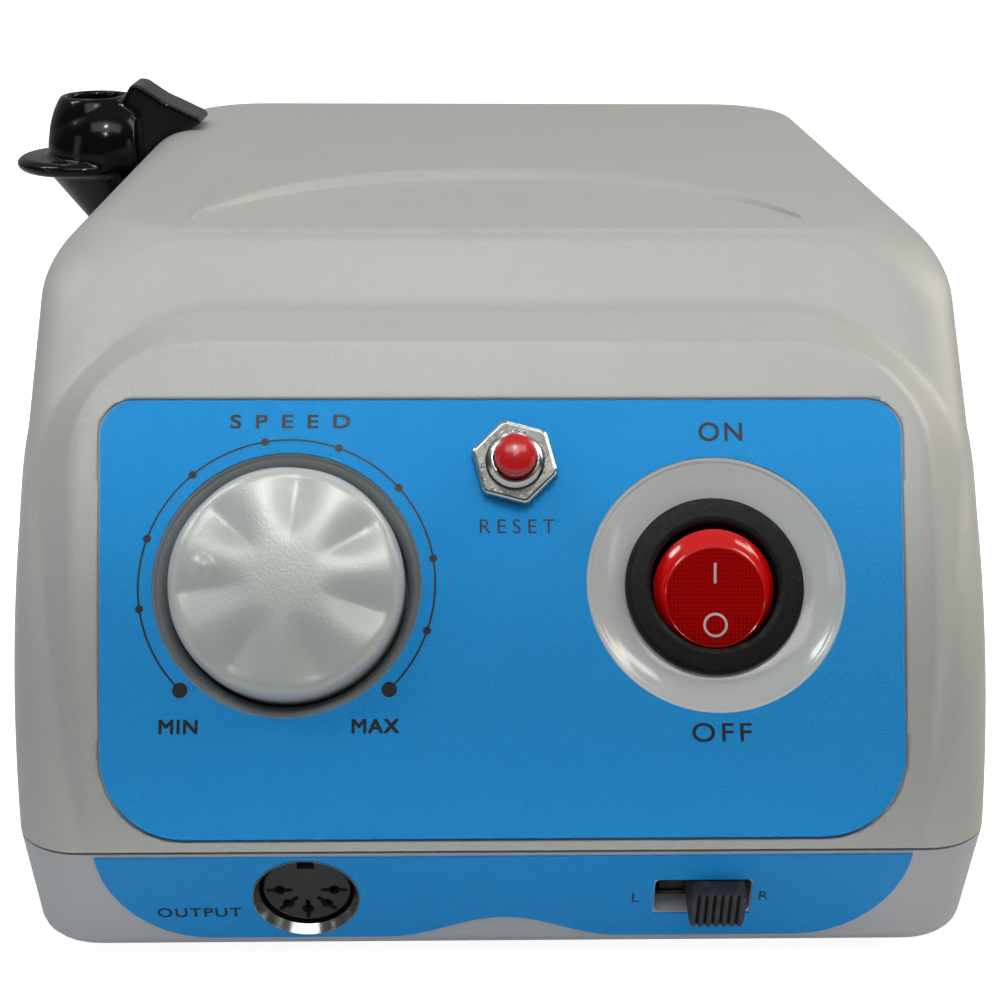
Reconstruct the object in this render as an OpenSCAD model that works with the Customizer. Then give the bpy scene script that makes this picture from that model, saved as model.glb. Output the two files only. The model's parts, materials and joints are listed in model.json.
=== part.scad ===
// Desktop control unit for a dental micromotor.
// Millimetres, Z up, origin on the bench under the middle of the case, front towards -Y.

/* [Case] */
// Width of the case at its widest
body_w = 132; // [128:1:150]
// Depth from the front seam to the rear wall
body_d = 190; // [184:1:230]
// Height of the lower tray, underside to seam
tray_h = 17; // [16:0.5:22]
// Height of the upper housing, seam to roof
hood_h = 67.3; // [65:0.1:80]
// Wall of the upper housing
wall = 2.5; // [2:0.1:3]
// Wall of the lower tray
tray_wall = 3; // [2.8:0.1:3.4]
// Shadow gap between housing and tray
seam_gap = 0.3; // [0.2:0.05:0.5]
// Width lost on each side at the seam
seam_tuck = 3.5; // [2.5:0.25:5]
// Rounding along the long shoulders
shoulder_r = 9.5; // [7:0.5:10]
// Rounding along the rear roof edge
rear_r = 10; // [10:0.5:14]
// Upright front corners
corner_r = 9; // [7:0.5:12]
// Upright rear corners
rear_corner_r = 12; // [9:0.5:16]

/* [Front panel] */
// Lean of the panel, measured from the bench
panel_angle = 56.5; // [55:0.5:59]
// Lean of the housing's front behind the panel
front_angle = 50; // [49:0.5:52]
// Undercut of the tray front
chin_angle = 15; // [10:0.5:18]
// Length of the raised panel, seam to its upper edge
panel_len = 68; // [66:0.5:69]
// Draft of the raised panel's side walls
pad_draft = 38; // [30:1:42]
// Soft edge of the raised panel
pad_edge = 2; // [1:0.1:2.5]
// Thickness of the printed labels
label_t = 0.25; // [0.2:0.05:0.4]
// Height of the crowned rest on the roof
crown_h = 1.4; // [0.8:0.1:2]

/* [Speed control] */
// Knob centre, across
knob_u = -28.1; // [-30:0.1:-27]
// Knob centre, up the panel from the seam
knob_s = 34.4; // [32:0.1:37]
// Knob diameter
knob_d = 30.6; // [28:0.1:31]
// Pocket round the knob
pocket_d = 34.6; // [34:0.1:36]
// Depth of the knob pocket
pocket_depth = 6.5; // [6.5:0.25:8]
// How far the knob face stands out of the panel
knob_rise = 2.8; // [2:0.1:4]
// Number of finger waves on the knob
knob_waves = 7; // [5:1:9]
// Potentiometer shaft diameter
shaft_d = 6; // [5:0.5:6]
// Potentiometer can diameter
pot_d = 16.4; // [15:0.1:20]

/* [Power switch] */
// Switch centre, across
switch_u = 27.8; // [27:0.1:30]
// Switch centre, up the panel from the seam
switch_s = 34.3; // [32:0.1:37]
// Dish diameter at the panel
dish_d = 33.5; // [32:0.1:34]
// Dish depth
dish_depth = 4.5; // [4:0.1:5.5]
// Switch bezel diameter
bezel_d = 23; // [22.5:0.1:23.4]
// Switch barrel diameter
barrel_d = 19.8; // [19.4:0.1:20]
// Opening in the bezel
opening_d = 16.2; // [15.8:0.1:16.6]
// Angle of each rocker wing
wing_angle = 12; // [8:0.5:13]

/* [Overload button] */
// Button centre, across
button_u = 1.6; // [-2:0.1:4]
// Button centre, up the panel from the seam
button_s = 50.2; // [48:0.1:52]
// Button diameter
button_d = 5.2; // [4.6:0.1:5.6]
// Thread diameter of the button bush
button_bush_d = 7.2; // [7.2:0.1:8]
// Nut size across its flats
button_nut = 9.7; // [9.5:0.1:11]
// How far the button stands out of the panel
button_rise = 7.2; // [6:0.1:8]
// Button stroke
button_stroke = 2; // [1:0.1:2.5]

/* [Motor socket] */
// Socket centre, across
socket_u = -25.4; // [-30:0.1:-20]
// Socket centre, down the tray front from the seam
socket_t = 7.9; // [7.8:0.1:8.4]
// Clear bore of the socket shell
socket_d = 12.6; // [12.2:0.1:12.8]
// Circle of the socket contacts
contact_pcd = 7; // [6.8:0.1:7.4]

/* [Direction switch] */
// Slot centre, across
slide_u = 25.5; // [22:0.1:30]
// Slot centre, down the tray front from the seam
slide_t = 8.1; // [7.8:0.1:8.4]
// Slot length
slot_l = 12.4; // [12:0.1:14]
// Slot height
slot_h = 6.1; // [5.8:0.1:6.6]
// Slider length
slider_l = 8; // [7:0.1:8.4]
// How far the slider stands out of the tray
slider_rise = 3; // [2:0.1:3.5]

/* [Handpiece cup] */
// Cup axis, outwards from the flank of the case
cup_out = 8.5; // [8:0.1:12]
// Cup axis, forwards from the rear wall
cup_back = 40; // [34:1:60]
// Cup diameter at its widest
cup_d = 18.8; // [18:0.1:22]
// Clear bore that takes the nose of the handpiece
cup_bore_d = 10.4; // [9:0.1:11]
// Height of the cup's widest level above the bench
cup_waist = 82.5; // [80:0.5:84]
// Rise of the cup's dome
dome_h = 14; // [12:0.5:16]
// Reach of the lip round the cup
lip_d = 25; // [23:0.5:28]

/* [Inside] */
// Circuit board width
board_w = 80; // [70:1:82]
// Circuit board depth
board_d = 64; // [60:1:66]
// Transformer lamination width
core_w = 57; // [50:0.5:60]
// Transformer lamination height
core_h = 47.5; // [42:0.5:50]
// Transformer stack thickness
core_t = 26; // [20:0.5:28]

/* [Rear] */
// Height of the rear fittings above the bench
rear_z = 34; // [32:0.5:36]
// Fuse holder barrel diameter
fuse_d = 12; // [11:0.1:13]
// Clear bore of the foot control jack
jack_d = 6.5; // [6.4:0.05:6.6]
// Clear bore of the mains cord gland
gland_d = 7; // [6:0.1:8]

/* [Feet and clearances] */
// Foot height
foot_h = 2.5; // [2:0.1:4]
// Foot diameter
foot_d = 10; // [8:0.5:12]
// Gap between pieces that move past each other
fit = 0.3; // [0.25:0.05:0.35]
// Radial gap of a turning shaft
run = 0.05; // [0.03:0.01:0.08]
// Gap between pieces that are seated together
seat = 0.02; // [0.01:0.01:0.05]

/* [Hidden] */
$fn = 64;

case_grey = [0.68, 0.68, 0.65];
tray_grey = [0.56, 0.56, 0.57];
label_blue = [0.13, 0.52, 0.80];
black = [0.06, 0.06, 0.07];
steel = [0.72, 0.73, 0.75];
brass = [0.72, 0.58, 0.30];

half_w = body_w / 2;
front_y = -body_d / 2;
rear_y = body_d / 2;
seam_z = foot_h + tray_h;
top_z = seam_z + hood_h;
seam_half = half_w - seam_tuck;
belly_z = seam_z + hood_h * 0.5;
side_draft = 1;
tray_draft = 2.5;
bottom_r = 2;
brow_r = 4;
deep = -wall;
pad_depth = 12;

pocket_r = pocket_d / 2;
pocket_floor = -pocket_depth;
pocket_back = pocket_floor - wall;
dish_r = dish_d / 2;
dish_floor = -dish_depth;
dish_back = dish_floor - wall;
bezel_r = bezel_d / 2;
barrel_r = barrel_d / 2;
opening_r = opening_d / 2;
dish_floor_r = bezel_r + 0.4;
bezel_top = dish_floor + 2.1;
pivot_n = dish_floor + 0.2;
rocker_r = opening_r - fit + 0.05;
trunnion_r = 1.2;
shaft_r = shaft_d / 2;
bush_r = shaft_r + 0.75;
knob_r = knob_d / 2;
pot_r = pot_d / 2;
pot_depth = 9;
shell_r = socket_d / 2;
shell_t = 0.5;
socket_depth = 11;
slot_r = 1;
slider_h = slot_h - 2 * fit;
slider_travel = slot_l - slider_l - 0.4;
slider_rest = slider_travel / 2;

post_x = seam_half - 9;
post_front_y = front_y + 28;
post_rear_y = rear_y - 15;
posts = [
    [-post_x, post_front_y], [post_x, post_front_y],
    [-post_x, post_rear_y], [post_x, post_rear_y]
];
post_r = 4;
post_z = seam_z + 2.5;
screw_r = 1.5;
head_z = foot_h + 5;
foot_x = seam_half - 16.5;
feet = [
    [-foot_x, front_y + 14], [foot_x, front_y + 14],
    [-foot_x, rear_y - 28], [foot_x, rear_y - 28]
];
tray_floor = foot_h + tray_wall;

board_z = tray_floor + 5;
board_front = front_y + 33;
board_y = board_front + board_d / 2;
board_t = 1.6;
board_top = board_z + board_t;
board_edge = 4;
board_holes = [
    for (sx = [-1, 1], sy = [-1, 1])
        [sx * (board_w / 2 - board_edge), board_y + sy * (board_d / 2 - board_edge)]
];
board_screw_r = 1.4;
board_head_r = 2.7;
board_clear = 0.8;
sink_w = board_w * 0.375;
sink_h = board_w * 0.4;
sink_plate = 3;
sink_x = board_w / 2 - board_edge - board_head_r - board_clear - sink_w / 2;
sink_y = board_y + board_d * 0.28;
fin_pitch = (sink_w - 2) / 8;
fin_l = 10;
capacitor_r = board_w / 10;
capacitor_h = board_w * 0.3;
capacitor_x = [-board_w * 0.325, -board_w * 0.1];
capacitor_y = board_y + board_d / 4;
bridge_x = -board_w * 0.34;
bridge_y = board_y - board_d * 0.16;
relay_x = board_w * 0.025;
relay_y = board_y - board_d / 8;

core_x = 14;
core_y = rear_y - 52;
plinth_z = tray_floor + 4;
strap_t = 1;
core_z = plinth_z + seat;
window_w = core_w / 6;
window_h = core_h * 0.6;
limb_w = core_w / 3;
ear_l = 10;
ear_x = core_w / 2 + strap_t + ear_l / 2;
strap_w = core_t * 0.6;
winding_out = 10;

fuse_x = -16;
jack_x = 36;
gland_x = -seam_half + 21;
fuse_r = fuse_d / 2;
fuse_len = 34;
rear_in = rear_y - wall;

cup_x = -half_w - cup_out;
cup_y = rear_y - cup_back;
cup_r = cup_d / 2;
cup_bore_r = cup_bore_d / 2;
cup_rim_r = cup_bore_r + 1.2;
cup_rim_z = cup_waist + dome_h * sin(acos(cup_rim_r / cup_r));
cup_cone = cup_waist - 4.5;
cup_taper = 0.75;
cup_tip_r = 2.5;
cup_tip = cup_cone - (cup_r - cup_tip_r) / cup_taper;
cup_bore_floor = cup_cone - (cup_r - cup_bore_r - 1.6) / cup_taper;
plate_x = -half_w - 0.2;
plate_t = 2.8;
plate_w = 32;
plate_low = cup_cone - 19;
plate_high = top_z - shoulder_r;
plate_screw_z = (plate_low + plate_high) / 2;
plate_screws = [cup_y - 11.5, cup_y + 11.5];
cup_wall_in = -half_w + wall + 0.5;

// Points of an arc from angle a0 to a1.
function arc(c, r, a0, a1, n) = [for (i = [0:n]) let (a = a0 + (a1 - a0) * i / n) c + r * [cos(a), sin(a)]];

function unit(v) = v / norm(v);

// A corner b between a and c, rounded by r.
function rounded_corner(a, b, c, r, n) =
    let (u = unit(a - b), v = unit(c - b), h = acos(u * v) / 2)
    let (o = b + unit(u + v) * r / sin(h), p = b + u * r / tan(h) - o, q = b + v * r / tan(h) - o)
    let (a0 = atan2(p[1], p[0]), d = (atan2(q[1], q[0]) - a0 + 540) % 360 - 180)
    [for (i = [0:n]) o + r * [cos(a0 + d * i / n), sin(a0 + d * i / n)]];

// A closed outline with each corner rounded by its own radius, 0 for a sharp one.
function rounded(pts, radii, n) =
    let (m = len(pts))
    [for (i = [0:m - 1])
        each radii[i] > 0
            ? rounded_corner(pts[(i + m - 1) % m], pts[i], pts[(i + 1) % m], radii[i], n)
            : [pts[i]]];

function left_of(e) = [-e[1], e[0]];

// A counter-clockwise outline moved inwards by d.
function inset(pts, d) =
    let (m = len(pts))
    [for (i = [0:m - 1])
        let (n1 = left_of(unit(pts[i] - pts[(i + m - 1) % m])))
        let (n2 = left_of(unit(pts[(i + 1) % m] - pts[i])))
        pts[i] + d * (n1 + n2) / (1 + n1 * n2)];

// A level outline with its own front and rear corner radii.
function ring(yf, yr, hx, rf, rr, z, n) =
    [for (p = concat(
        arc([hx - rr, yr - rr], rr, 0, 90, n),
        arc([rr - hx, yr - rr], rr, 90, 180, n),
        arc([rf - hx, yf + rf], rf, 180, 270, n),
        arc([hx - rf, yf + rf], rf, 270, 360, n)
    )) [p[0], p[1], z]];

// A solid skinned over rings of equal point count, bottom ring first.
module loft(rings) {
    n = len(rings[0]);
    m = len(rings);
    sides = [
        for (j = [0:m - 2], i = [0:n - 1])
            let (a = j * n + i, b = j * n + (i + 1) % n)
            each [[a, a + n, b + n], [a, b + n, b]]
    ];
    caps = [[for (i = [0:n - 1]) i], [for (i = [n - 1:-1:0]) (m - 1) * n + i]];
    polyhedron(points = [for (r = rings) each r], faces = concat(sides, caps), convexity = 6);
}

// Depth lost to a rounding of radius r that starts at height c.
function rounding(z, c, r) = z > c ? r - sqrt(max(r * r - (z - c) * (z - c), 0)) : 0;

// Half width of the housing wall, fullest at the belly.
function side_x(z) =
    z < belly_z
        ? half_w - seam_tuck * pow((belly_z - z) / (belly_z - seam_z), 2)
        : half_w - (z - belly_z) * tan(side_draft);

// The housing's front line, set in by k: leaning front, soft brow, roof.
function front_line(z, k) =
    let (zt = top_z - k, r = brow_r - k * 0.8, run = r * tan(front_angle / 2))
    let (y0 = front_y + k / sin(front_angle), yc = y0 + (zt - seam_z) / tan(front_angle))
    z <= zt - run * sin(front_angle)
        ? y0 + (z - seam_z) / tan(front_angle)
        : yc + run - r * sin(acos(1 - (zt - z) / r));

function hood_ring(z, k, n) =
    let (lift = max(0, (z - (top_z - k - rear_r)) / rear_r))
    ring(
        front_line(z, k),
        rear_y - k - rounding(z, top_z - rear_r, rear_r - k),
        side_x(z) - k - rounding(z, top_z - shoulder_r, shoulder_r - k),
        corner_r - k + 7 * lift * lift,
        rear_corner_r - k,
        z, n
    );

// The housing's outer form set in by k, from height z0 to the roof.
module hood_form(k, z0, low, high, n) {
    z1 = top_z - rear_r;
    r = rear_r - k;
    loft(concat(
        [for (i = [0:low - 1]) hood_ring(z0 + (z1 - z0) * i / low, k, n)],
        [for (i = [0:high]) hood_ring(z1 + r * sin(90 * i / high), k, n)]
    ));
}

function tray_ring(z, k, n) =
    let (r = max(bottom_r - k, 0.01), e = rounding(-z, -(foot_h + k + r), r), drop = seam_z - z)
    ring(
        front_y + drop * tan(chin_angle) + k / cos(chin_angle) + e,
        rear_y - drop * tan(tray_draft) - k - e,
        seam_half - drop * tan(tray_draft) - k - e,
        max(corner_r - k - e, 1),
        max(rear_corner_r - k - e, 1),
        z, n
    );

// The tray's outer form set in by k, from its underside to height z1.
module tray_form(k, z1, n) {
    r = bottom_r - k;
    low = r > 0 ? [for (t = [90:-22.5:0]) foot_h + k + r * (1 - sin(t))] : [foot_h + k];
    loft([for (z = concat(low, [z1])) tray_ring(z, k, n)]);
}

// Local frame on the panel: X across, Y up the slope from the seam, Z outwards.
module on_panel(u, s, n = 0) {
    translate([0, front_y, seam_z])
        rotate([panel_angle, 0, 0])
            translate([u, s, n])
                children();
}

// Local frame on the tray front: X across, Y up towards the seam, Z outwards.
module on_chin(u, t, n = 0) {
    translate([0, front_y, seam_z])
        rotate([90 + chin_angle, 0, 0])
            translate([u, -t, n])
                children();
}

// Local frame on the rear wall: X across, Z outwards.
module on_rear(x, z, n = 0) {
    translate([x, rear_y + n, z])
        rotate([-90, 0, 0])
            children();
}

// A round bar from height a to height b.
module bar(r, a, b) {
    translate([0, 0, a])
        cylinder(r = r, h = b - a);
}

// A box centred in X and Y, from height a to height b.
module block(x, y, a, b) {
    translate([-x / 2, -y / 2, a])
        cube([x, y, b - a]);
}

// A plate with rounded corners, centred, from height a to height b.
module plate(x, y, r, a, b) {
    translate([0, 0, a])
        linear_extrude(b - a)
            polygon(rounded(
                [[x / 2, -y / 2], [x / 2, y / 2], [-x / 2, y / 2], [-x / 2, -y / 2]],
                [r, r, r, r], 5
            ));
}

// A hexagon bar, flats f apart, from height a to height b.
module hex_bar(f, a, b) {
    translate([0, 0, a])
        cylinder(r = f / sqrt(3), h = b - a, $fn = 6);
}

// A pan head screw, head top at 0, shank pointing down.
module pan_screw(r, head_r, head_h, length) {
    difference() {
        union() {
            bar(head_r, -head_h, 0);
            bar(r, -head_h - length, -head_h + 0.1);
        }
        block(head_r * 1.2, 0.5, -head_h * 0.45, 1);
        block(0.5, head_r * 1.2, -head_h * 0.45, 1);
    }
}

// Outline of the raised panel set in by d, at height h over it.
function pad_ring(d, h) =
    let (half = [52.5 - d, 54.6 - d, 56.8 - d, 56 - d], top = panel_len - d)
    [for (p = rounded(
        [
            [half[0], 0], [half[1], 12], [half[2], 42], [half[3], top],
            [-half[3], top], [-half[2], 42], [-half[1], 12], [-half[0], 0]
        ],
        [0, 40, 60, 16 - d / 2, 16 - d / 2, 60, 40, 0], 7
    )) [p[0], p[1], h]];

// The raised panel with drafted walls and a soft edge, set in by k.
module front_pad(k) {
    r = pad_edge;
    turn = 90 - pad_draft;
    soft = r * tan(turn / 2);
    intersection() {
        on_panel(0, 0, -k)
            loft(concat(
                [pad_ring(k - pad_depth * tan(pad_draft), -pad_depth)],
                [for (i = [3:-1:0]) let (t = turn * i / 3) pad_ring(k + soft - r * sin(t), r * (cos(t) - 1))]
            ));
        translate([-half_w, front_y - 1, seam_z + seam_gap / 2])
            cube([body_w, body_d, hood_h]);
    }
}

// The shallow crowned rest on the roof, scooped at its front.
module crown_pad() {
    w = 45;
    start = front_y + 58;
    length = body_d - 70;
    scoop_r = 46.5;
    arch = [for (i = [-8:8]) [w * i / 8, crown_h * (1 - i * i / 64)]];
    difference() {
        translate([0, start + 38, top_z])
            rotate([-0.85, 0, 0])
                translate([0, length - 38, 0])
                    rotate([90, 0, 0])
                        linear_extrude(length)
                            polygon(concat([[w, -1.2], [-w, -1.2]], arch));
        translate([0, front_y + 50.2, top_z - 5])
            cylinder(r = scoop_r, h = 10);
    }
}

module hood_posts() {
    intersection() {
        union() {
            hood_form(wall / 2, post_z, 2, 5, 3);
            front_pad(wall / 2);
        }
        union() {
            for (p = posts)
                translate([p[0], p[1], 0])
                    bar(post_r, post_z, top_z + 1);
        }
    }
}

module rear_vents() {
    for (i = [-4:4])
        translate([i * 6, rear_y, seam_z + 42])
            cube([2.5, 4 * wall, 22], center = true);
}

module upper_housing() {
    color(case_grey)
        difference() {
            union() {
                difference() {
                    union() {
                        hood_form(0, seam_z + seam_gap / 2, 6, 12, 8);
                        front_pad(0);
                        crown_pad();
                    }
                    hood_form(wall, seam_z - 2, 4, 6, 4);
                    front_pad(wall);
                }
                hood_posts();
                on_panel(knob_u, knob_s)
                    bar(pocket_r + 2, pocket_back, deep + 0.8);
                on_panel(switch_u, switch_s)
                    bar(dish_floor_r + 3, dish_back, deep + 0.8);
            }
            on_panel(knob_u, knob_s) {
                translate([0, 0, pocket_floor])
                    cylinder(r1 = pocket_r - 1.2, r2 = pocket_r + 0.2, h = pocket_depth + 1);
                bar(bush_r + seat, pocket_back - 1, 1);
            }
            on_panel(switch_u, switch_s) {
                translate([0, 0, dish_floor])
                    cylinder(r1 = dish_floor_r, r2 = dish_r + 1, h = dish_depth + 1);
                bar(barrel_r + 0.1, dish_back - 1, 1);
            }
            on_panel(button_u, button_s)
                bar(button_bush_d / 2 + seat, deep - 1, 1);
            for (p = posts)
                translate([p[0], p[1], 0])
                    bar(screw_r + seat, post_z - 1, post_z + 14);
            on_rear(fuse_x, rear_z)
                bar(fuse_r + seat, -2 * wall, 1);
            on_rear(jack_x, rear_z)
                bar(jack_d / 2 + 1.3 + seat, -2 * wall, 1);
            on_rear(gland_x, rear_z)
                bar(gland_d / 2 + 2.5 + seat, -2 * wall, 1);
            rear_vents();
            for (y = plate_screws)
                translate([-half_w, y, plate_screw_z])
                    rotate([0, 90, 0])
                        bar(screw_r + seat, -3, 2 * wall);
        }
}

module lower_tray() {
    top = seam_z - seam_gap / 2;
    color(tray_grey)
        difference() {
            union() {
                difference() {
                    tray_form(0, top, 8);
                    tray_form(tray_wall, top + 1, 5);
                }
                for (p = posts)
                    translate([p[0], p[1], 0])
                        bar(post_r + 0.3, tray_floor - 1, post_z - seat);
                for (p = board_holes)
                    translate([p[0], p[1], 0])
                        bar(3, tray_floor - 1, board_z - seat);
                translate([core_x, core_y, 0])
                    block(core_w + 2 * ear_l + 6, strap_w + 2, tray_floor - 1, plinth_z);
                for (sx = [-1, 1])
                    translate([sx * (seam_half - wall - 1.1), -10, 0])
                        block(1.7, 90, seam_z - 7, seam_z + 2.5);
            }
            for (p = posts)
                translate([p[0], p[1], 0]) {
                    bar(screw_r + 0.2, foot_h - 1, post_z + 1);
                    bar(3.4, foot_h - 1, head_z);
                }
            for (p = board_holes)
                translate([p[0], p[1], 0])
                    bar(board_screw_r + seat, tray_floor - 0.5, board_z + 1);
            for (sx = [-1, 1])
                translate([core_x + sx * ear_x, core_y, 0])
                    bar(1.9 + seat, tray_floor - 0.5, plinth_z + 1);
            for (p = feet)
                translate([p[0], p[1], 0])
                    bar(2 + seat, foot_h - 1, tray_floor + 1);
            on_chin(socket_u, socket_t) {
                bar(shell_r + shell_t + 0.1, -2 * tray_wall, 1);
                for (sx = [-1, 1])
                    translate([sx * (shell_r + 3.4), 0, 0])
                        bar(1 + seat, -2 * tray_wall, -0.8);
            }
            on_chin(slide_u, slide_t) {
                plate(slot_l, slot_h, slot_r, -2 * tray_wall, 2 * tray_wall);
                for (sx = [-1, 1])
                    translate([sx * (slot_l / 2 + 7.5), 0, 0])
                        bar(1 + seat, -2 * tray_wall, -0.8);
            }
            for (i = [-3:3])
                translate([core_x + i * 7, core_y - strap_w, foot_h])
                    cube([3, 14, 4 * tray_wall], center = true);
        }
}

label_outline = rounded(
    [[50.9, 1.7], [53.3, 59.1], [-53.3, 59.1], [-50.9, 1.7]],
    [11, 4.5, 4.5, 11], 10
);

module front_label() {
    color(label_blue)
        on_panel(0, 0, seat)
            linear_extrude(label_t)
                difference() {
                    polygon(label_outline);
                    translate([knob_u, knob_s])
                        circle(r = pocket_r + 0.2);
                    translate([switch_u, switch_s])
                        circle(r = dish_r + 0.2);
                    translate([button_u, button_s])
                        circle(r = button_bush_d / 2 + seat);
                }
}

// Lower edge of the boat-shaped label, down the tray front.
function boat(u) =
    u < 15 ? 11.7 + 3.6 * (1 - cos(12 * u)) / 2
    : u < 38 ? 15.3
    : 15.3 * sqrt(max(1 - pow((u - 38) / 13.6, 2), 0.003));

boat_half = concat([for (u = [0:1.5:15]) u], [for (a = [0:9:90]) 38 + 13.6 * sin(a)]);

module lower_label() {
    right = [for (u = boat_half) [u, -boat(u)]];
    left = [for (i = [len(boat_half) - 1:-1:1]) [-boat_half[i], -boat(boat_half[i])]];
    color(label_blue)
        on_chin(0, 0, seat)
            linear_extrude(label_t)
                difference() {
                    polygon(concat(left, right, [[51.6, -0.6], [-51.6, -0.6]]));
                    translate([socket_u, -socket_t])
                        circle(r = shell_r + shell_t + 0.1);
                    translate([slide_u, -slide_t])
                        square([slot_l + 0.2, slot_h + 0.2], center = true);
                }
}

module rubber_feet() {
    color(black)
        for (p = feet)
            translate([p[0], p[1], 0]) {
                cylinder(r1 = foot_d / 2 - 0.6, r2 = foot_d / 2, h = foot_h - seat);
                bar(2, foot_h - 1, tray_floor + 0.8);
            }
}

module housing_screws() {
    color(steel)
        for (p = posts)
            translate([p[0], p[1], head_z - 2.2 - seat])
                rotate([180, 0, 0])
                    pan_screw(screw_r, 2.8, 2.2, post_z + 8 - head_z);
}

module knob_form() {
    edge = 2.2;
    top = knob_rise;
    dome = [for (i = [0:6]) [(knob_r - edge) * i / 6, top - 0.9 * pow(i / 6, 2)]];
    rim = arc([knob_r - edge, top - 0.9 - edge], edge, 75, 0, 6);
    rotate_extrude()
        polygon(concat([[0, pocket_floor + 0.4]], [[knob_r, pocket_floor + 0.4]],
            [for (i = [len(rim) - 1:-1:0]) rim[i]], [for (i = [6:-1:0]) dome[i]]));
}

module speed_knob() {
    hub_low = pocket_floor + 2.7;
    wave_r = knob_r * 0.42;
    pointer = 171.6;
    color([0.77, 0.76, 0.68])
        on_panel(knob_u, knob_s) {
            difference() {
                union() {
                    difference() {
                        knob_form();
                        bar(knob_r - 2, pocket_floor, knob_rise - 3.4);
                        for (i = [0:knob_waves - 1])
                            rotate([0, 0, pointer + (i + 0.5) * 360 / knob_waves])
                                translate([knob_r * 0.72, 0, knob_rise + wave_r - 1.1])
                                    rotate([0, 97, 0])
                                        cylinder(r = wave_r, h = knob_r * 1.2, center = true);
                    }
                    bar(shaft_r + 2.2, hub_low, knob_rise - 3);
                    rotate([0, 0, pointer])
                        translate([knob_r * 0.7, 0, knob_rise - 1.4])
                            cylinder(r1 = 1.5, r2 = 0.9, h = 1.6);
                }
                difference() {
                    bar(shaft_r + seat, hub_low - 1, knob_rise - 1.9);
                    translate([-shaft_r, shaft_r - 1 + 2 * seat, hub_low - 2])
                        cube([2 * shaft_r, shaft_r, knob_rise - hub_low + 4]);
                }
            }
        }
}

module potentiometer_shaft() {
    hub_low = pocket_floor + 2.7;
    color(steel)
        on_panel(knob_u, knob_s)
            difference() {
                bar(shaft_r, pocket_back - 7.5, knob_rise - 2);
                translate([-shaft_r, shaft_r - 1, hub_low - 0.2])
                    cube([2 * shaft_r, shaft_r, 20]);
            }
}

module potentiometer_bush() {
    color(brass)
        on_panel(knob_u, knob_s)
            difference() {
                bar(bush_r, pocket_back - seat, pocket_floor + 2.4);
                bar(shaft_r + run, pocket_back - 1, 1);
            }
}

module potentiometer_nut() {
    color(steel)
        on_panel(knob_u, knob_s)
            difference() {
                hex_bar(2 * bush_r + 2.6, pocket_floor + seat, pocket_floor + 2);
                bar(bush_r + seat, pocket_floor - 1, 0);
            }
}

module potentiometer_body() {
    color([0.62, 0.63, 0.64])
        on_panel(knob_u, knob_s)
            difference() {
                bar(pot_r, pocket_back - pot_depth, pocket_back - 2 * seat);
                bar(shaft_r + run, pocket_back - 7.5 - fit, 0);
            }
}

module potentiometer_terminals() {
    color(brass)
        on_panel(knob_u, knob_s)
            for (i = [-1:1])
                translate([i * 5, -sqrt(pot_r * pot_r - 25 * i * i) - 3.1 - abs(i) * 0.7, pocket_back - pot_depth + 2])
                    difference() {
                        block(2, 6, 0, 0.6);
                        translate([0, -1.8, 0])
                            bar(0.6, -1, 2);
                    }
}

module power_switch_body() {
    floor_n = pivot_n - 7.2;
    color(black)
        on_panel(switch_u, switch_s)
            difference() {
                rotate_extrude()
                    polygon([
                        [0, dish_floor - 19.5], [barrel_r, dish_floor - 19.5],
                        [barrel_r, dish_floor + seat], [bezel_r, dish_floor + seat],
                        [bezel_r, bezel_top - 0.9], [bezel_r - 0.8, bezel_top],
                        [opening_r + 1.1, bezel_top], [opening_r, bezel_top - 0.8],
                        [opening_r, floor_n], [0, floor_n]
                    ]);
                translate([0, 0, pivot_n])
                    rotate([0, 90, 0])
                        bar(trunnion_r + run, -opening_r - 1.5, opening_r + 1.5);
                for (y = [-6, 0, 6])
                    translate([0, y, 0])
                        block(4.9, 0.9, dish_floor - 20, dish_floor - 15);
            }
}

module power_rocker() {
    low = 4;
    mid = 0.9;
    w = opening_r + 1;
    high = mid + w * tan(wing_angle);
    color([0.75, 0.07, 0.06])
        on_panel(switch_u, switch_s, pivot_n)
            rotate([wing_angle, 0, 0]) {
                intersection() {
                    sphere(r = rocker_r);
                    rotate([90, 0, 90])
                        linear_extrude(2 * w, center = true)
                            polygon([[-w, -low], [w, -low], [w, high], [0, mid], [-w, high]]);
                }
                rotate([0, 90, 0])
                    bar(trunnion_r, -opening_r - 1.3, opening_r + 1.3);
            }
}

module power_switch_terminals() {
    color(brass)
        on_panel(switch_u, switch_s)
            for (y = [-6, 0, 6])
                translate([0, y, 0])
                    difference() {
                        block(4.8, 0.8, dish_floor - 27, dish_floor - 15.1);
                        translate([0, 0, dish_floor - 24.5])
                            rotate([90, 0, 0])
                                cylinder(r = 0.9, h = 4, center = true);
                    }
}

module overload_button() {
    r = button_d / 2;
    color([0.85, 0.12, 0.14])
        on_panel(button_u, button_s) {
            rotate_extrude()
                polygon(concat(
                    [[0, deep - 6], [r - 0.4, deep - 6], [r - 0.4, 1.4], [r, 1.4]],
                    arc([r - 1.4, button_rise - 1.4], 1.4, 0, 75, 5),
                    [[0, button_rise]]
                ));
        }
}

module overload_bush() {
    r = button_bush_d / 2;
    color(steel)
        on_panel(button_u, button_s)
            difference() {
                bar(r, deep - 1, label_t + 3.6);
                bar(button_d / 2 - 0.4 + run, deep - 2, 10);
                bar(button_d / 2 + fit / 2, 1.4 - button_stroke - 0.5, 10);
            }
}

module overload_nut() {
    color(steel)
        on_panel(button_u, button_s)
            rotate([0, 0, 15])
                difference() {
                    hex_bar(button_nut, label_t + 2 * seat, label_t + 2.1);
                    bar(button_bush_d / 2 + seat, -1, 6);
                }
}

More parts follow.
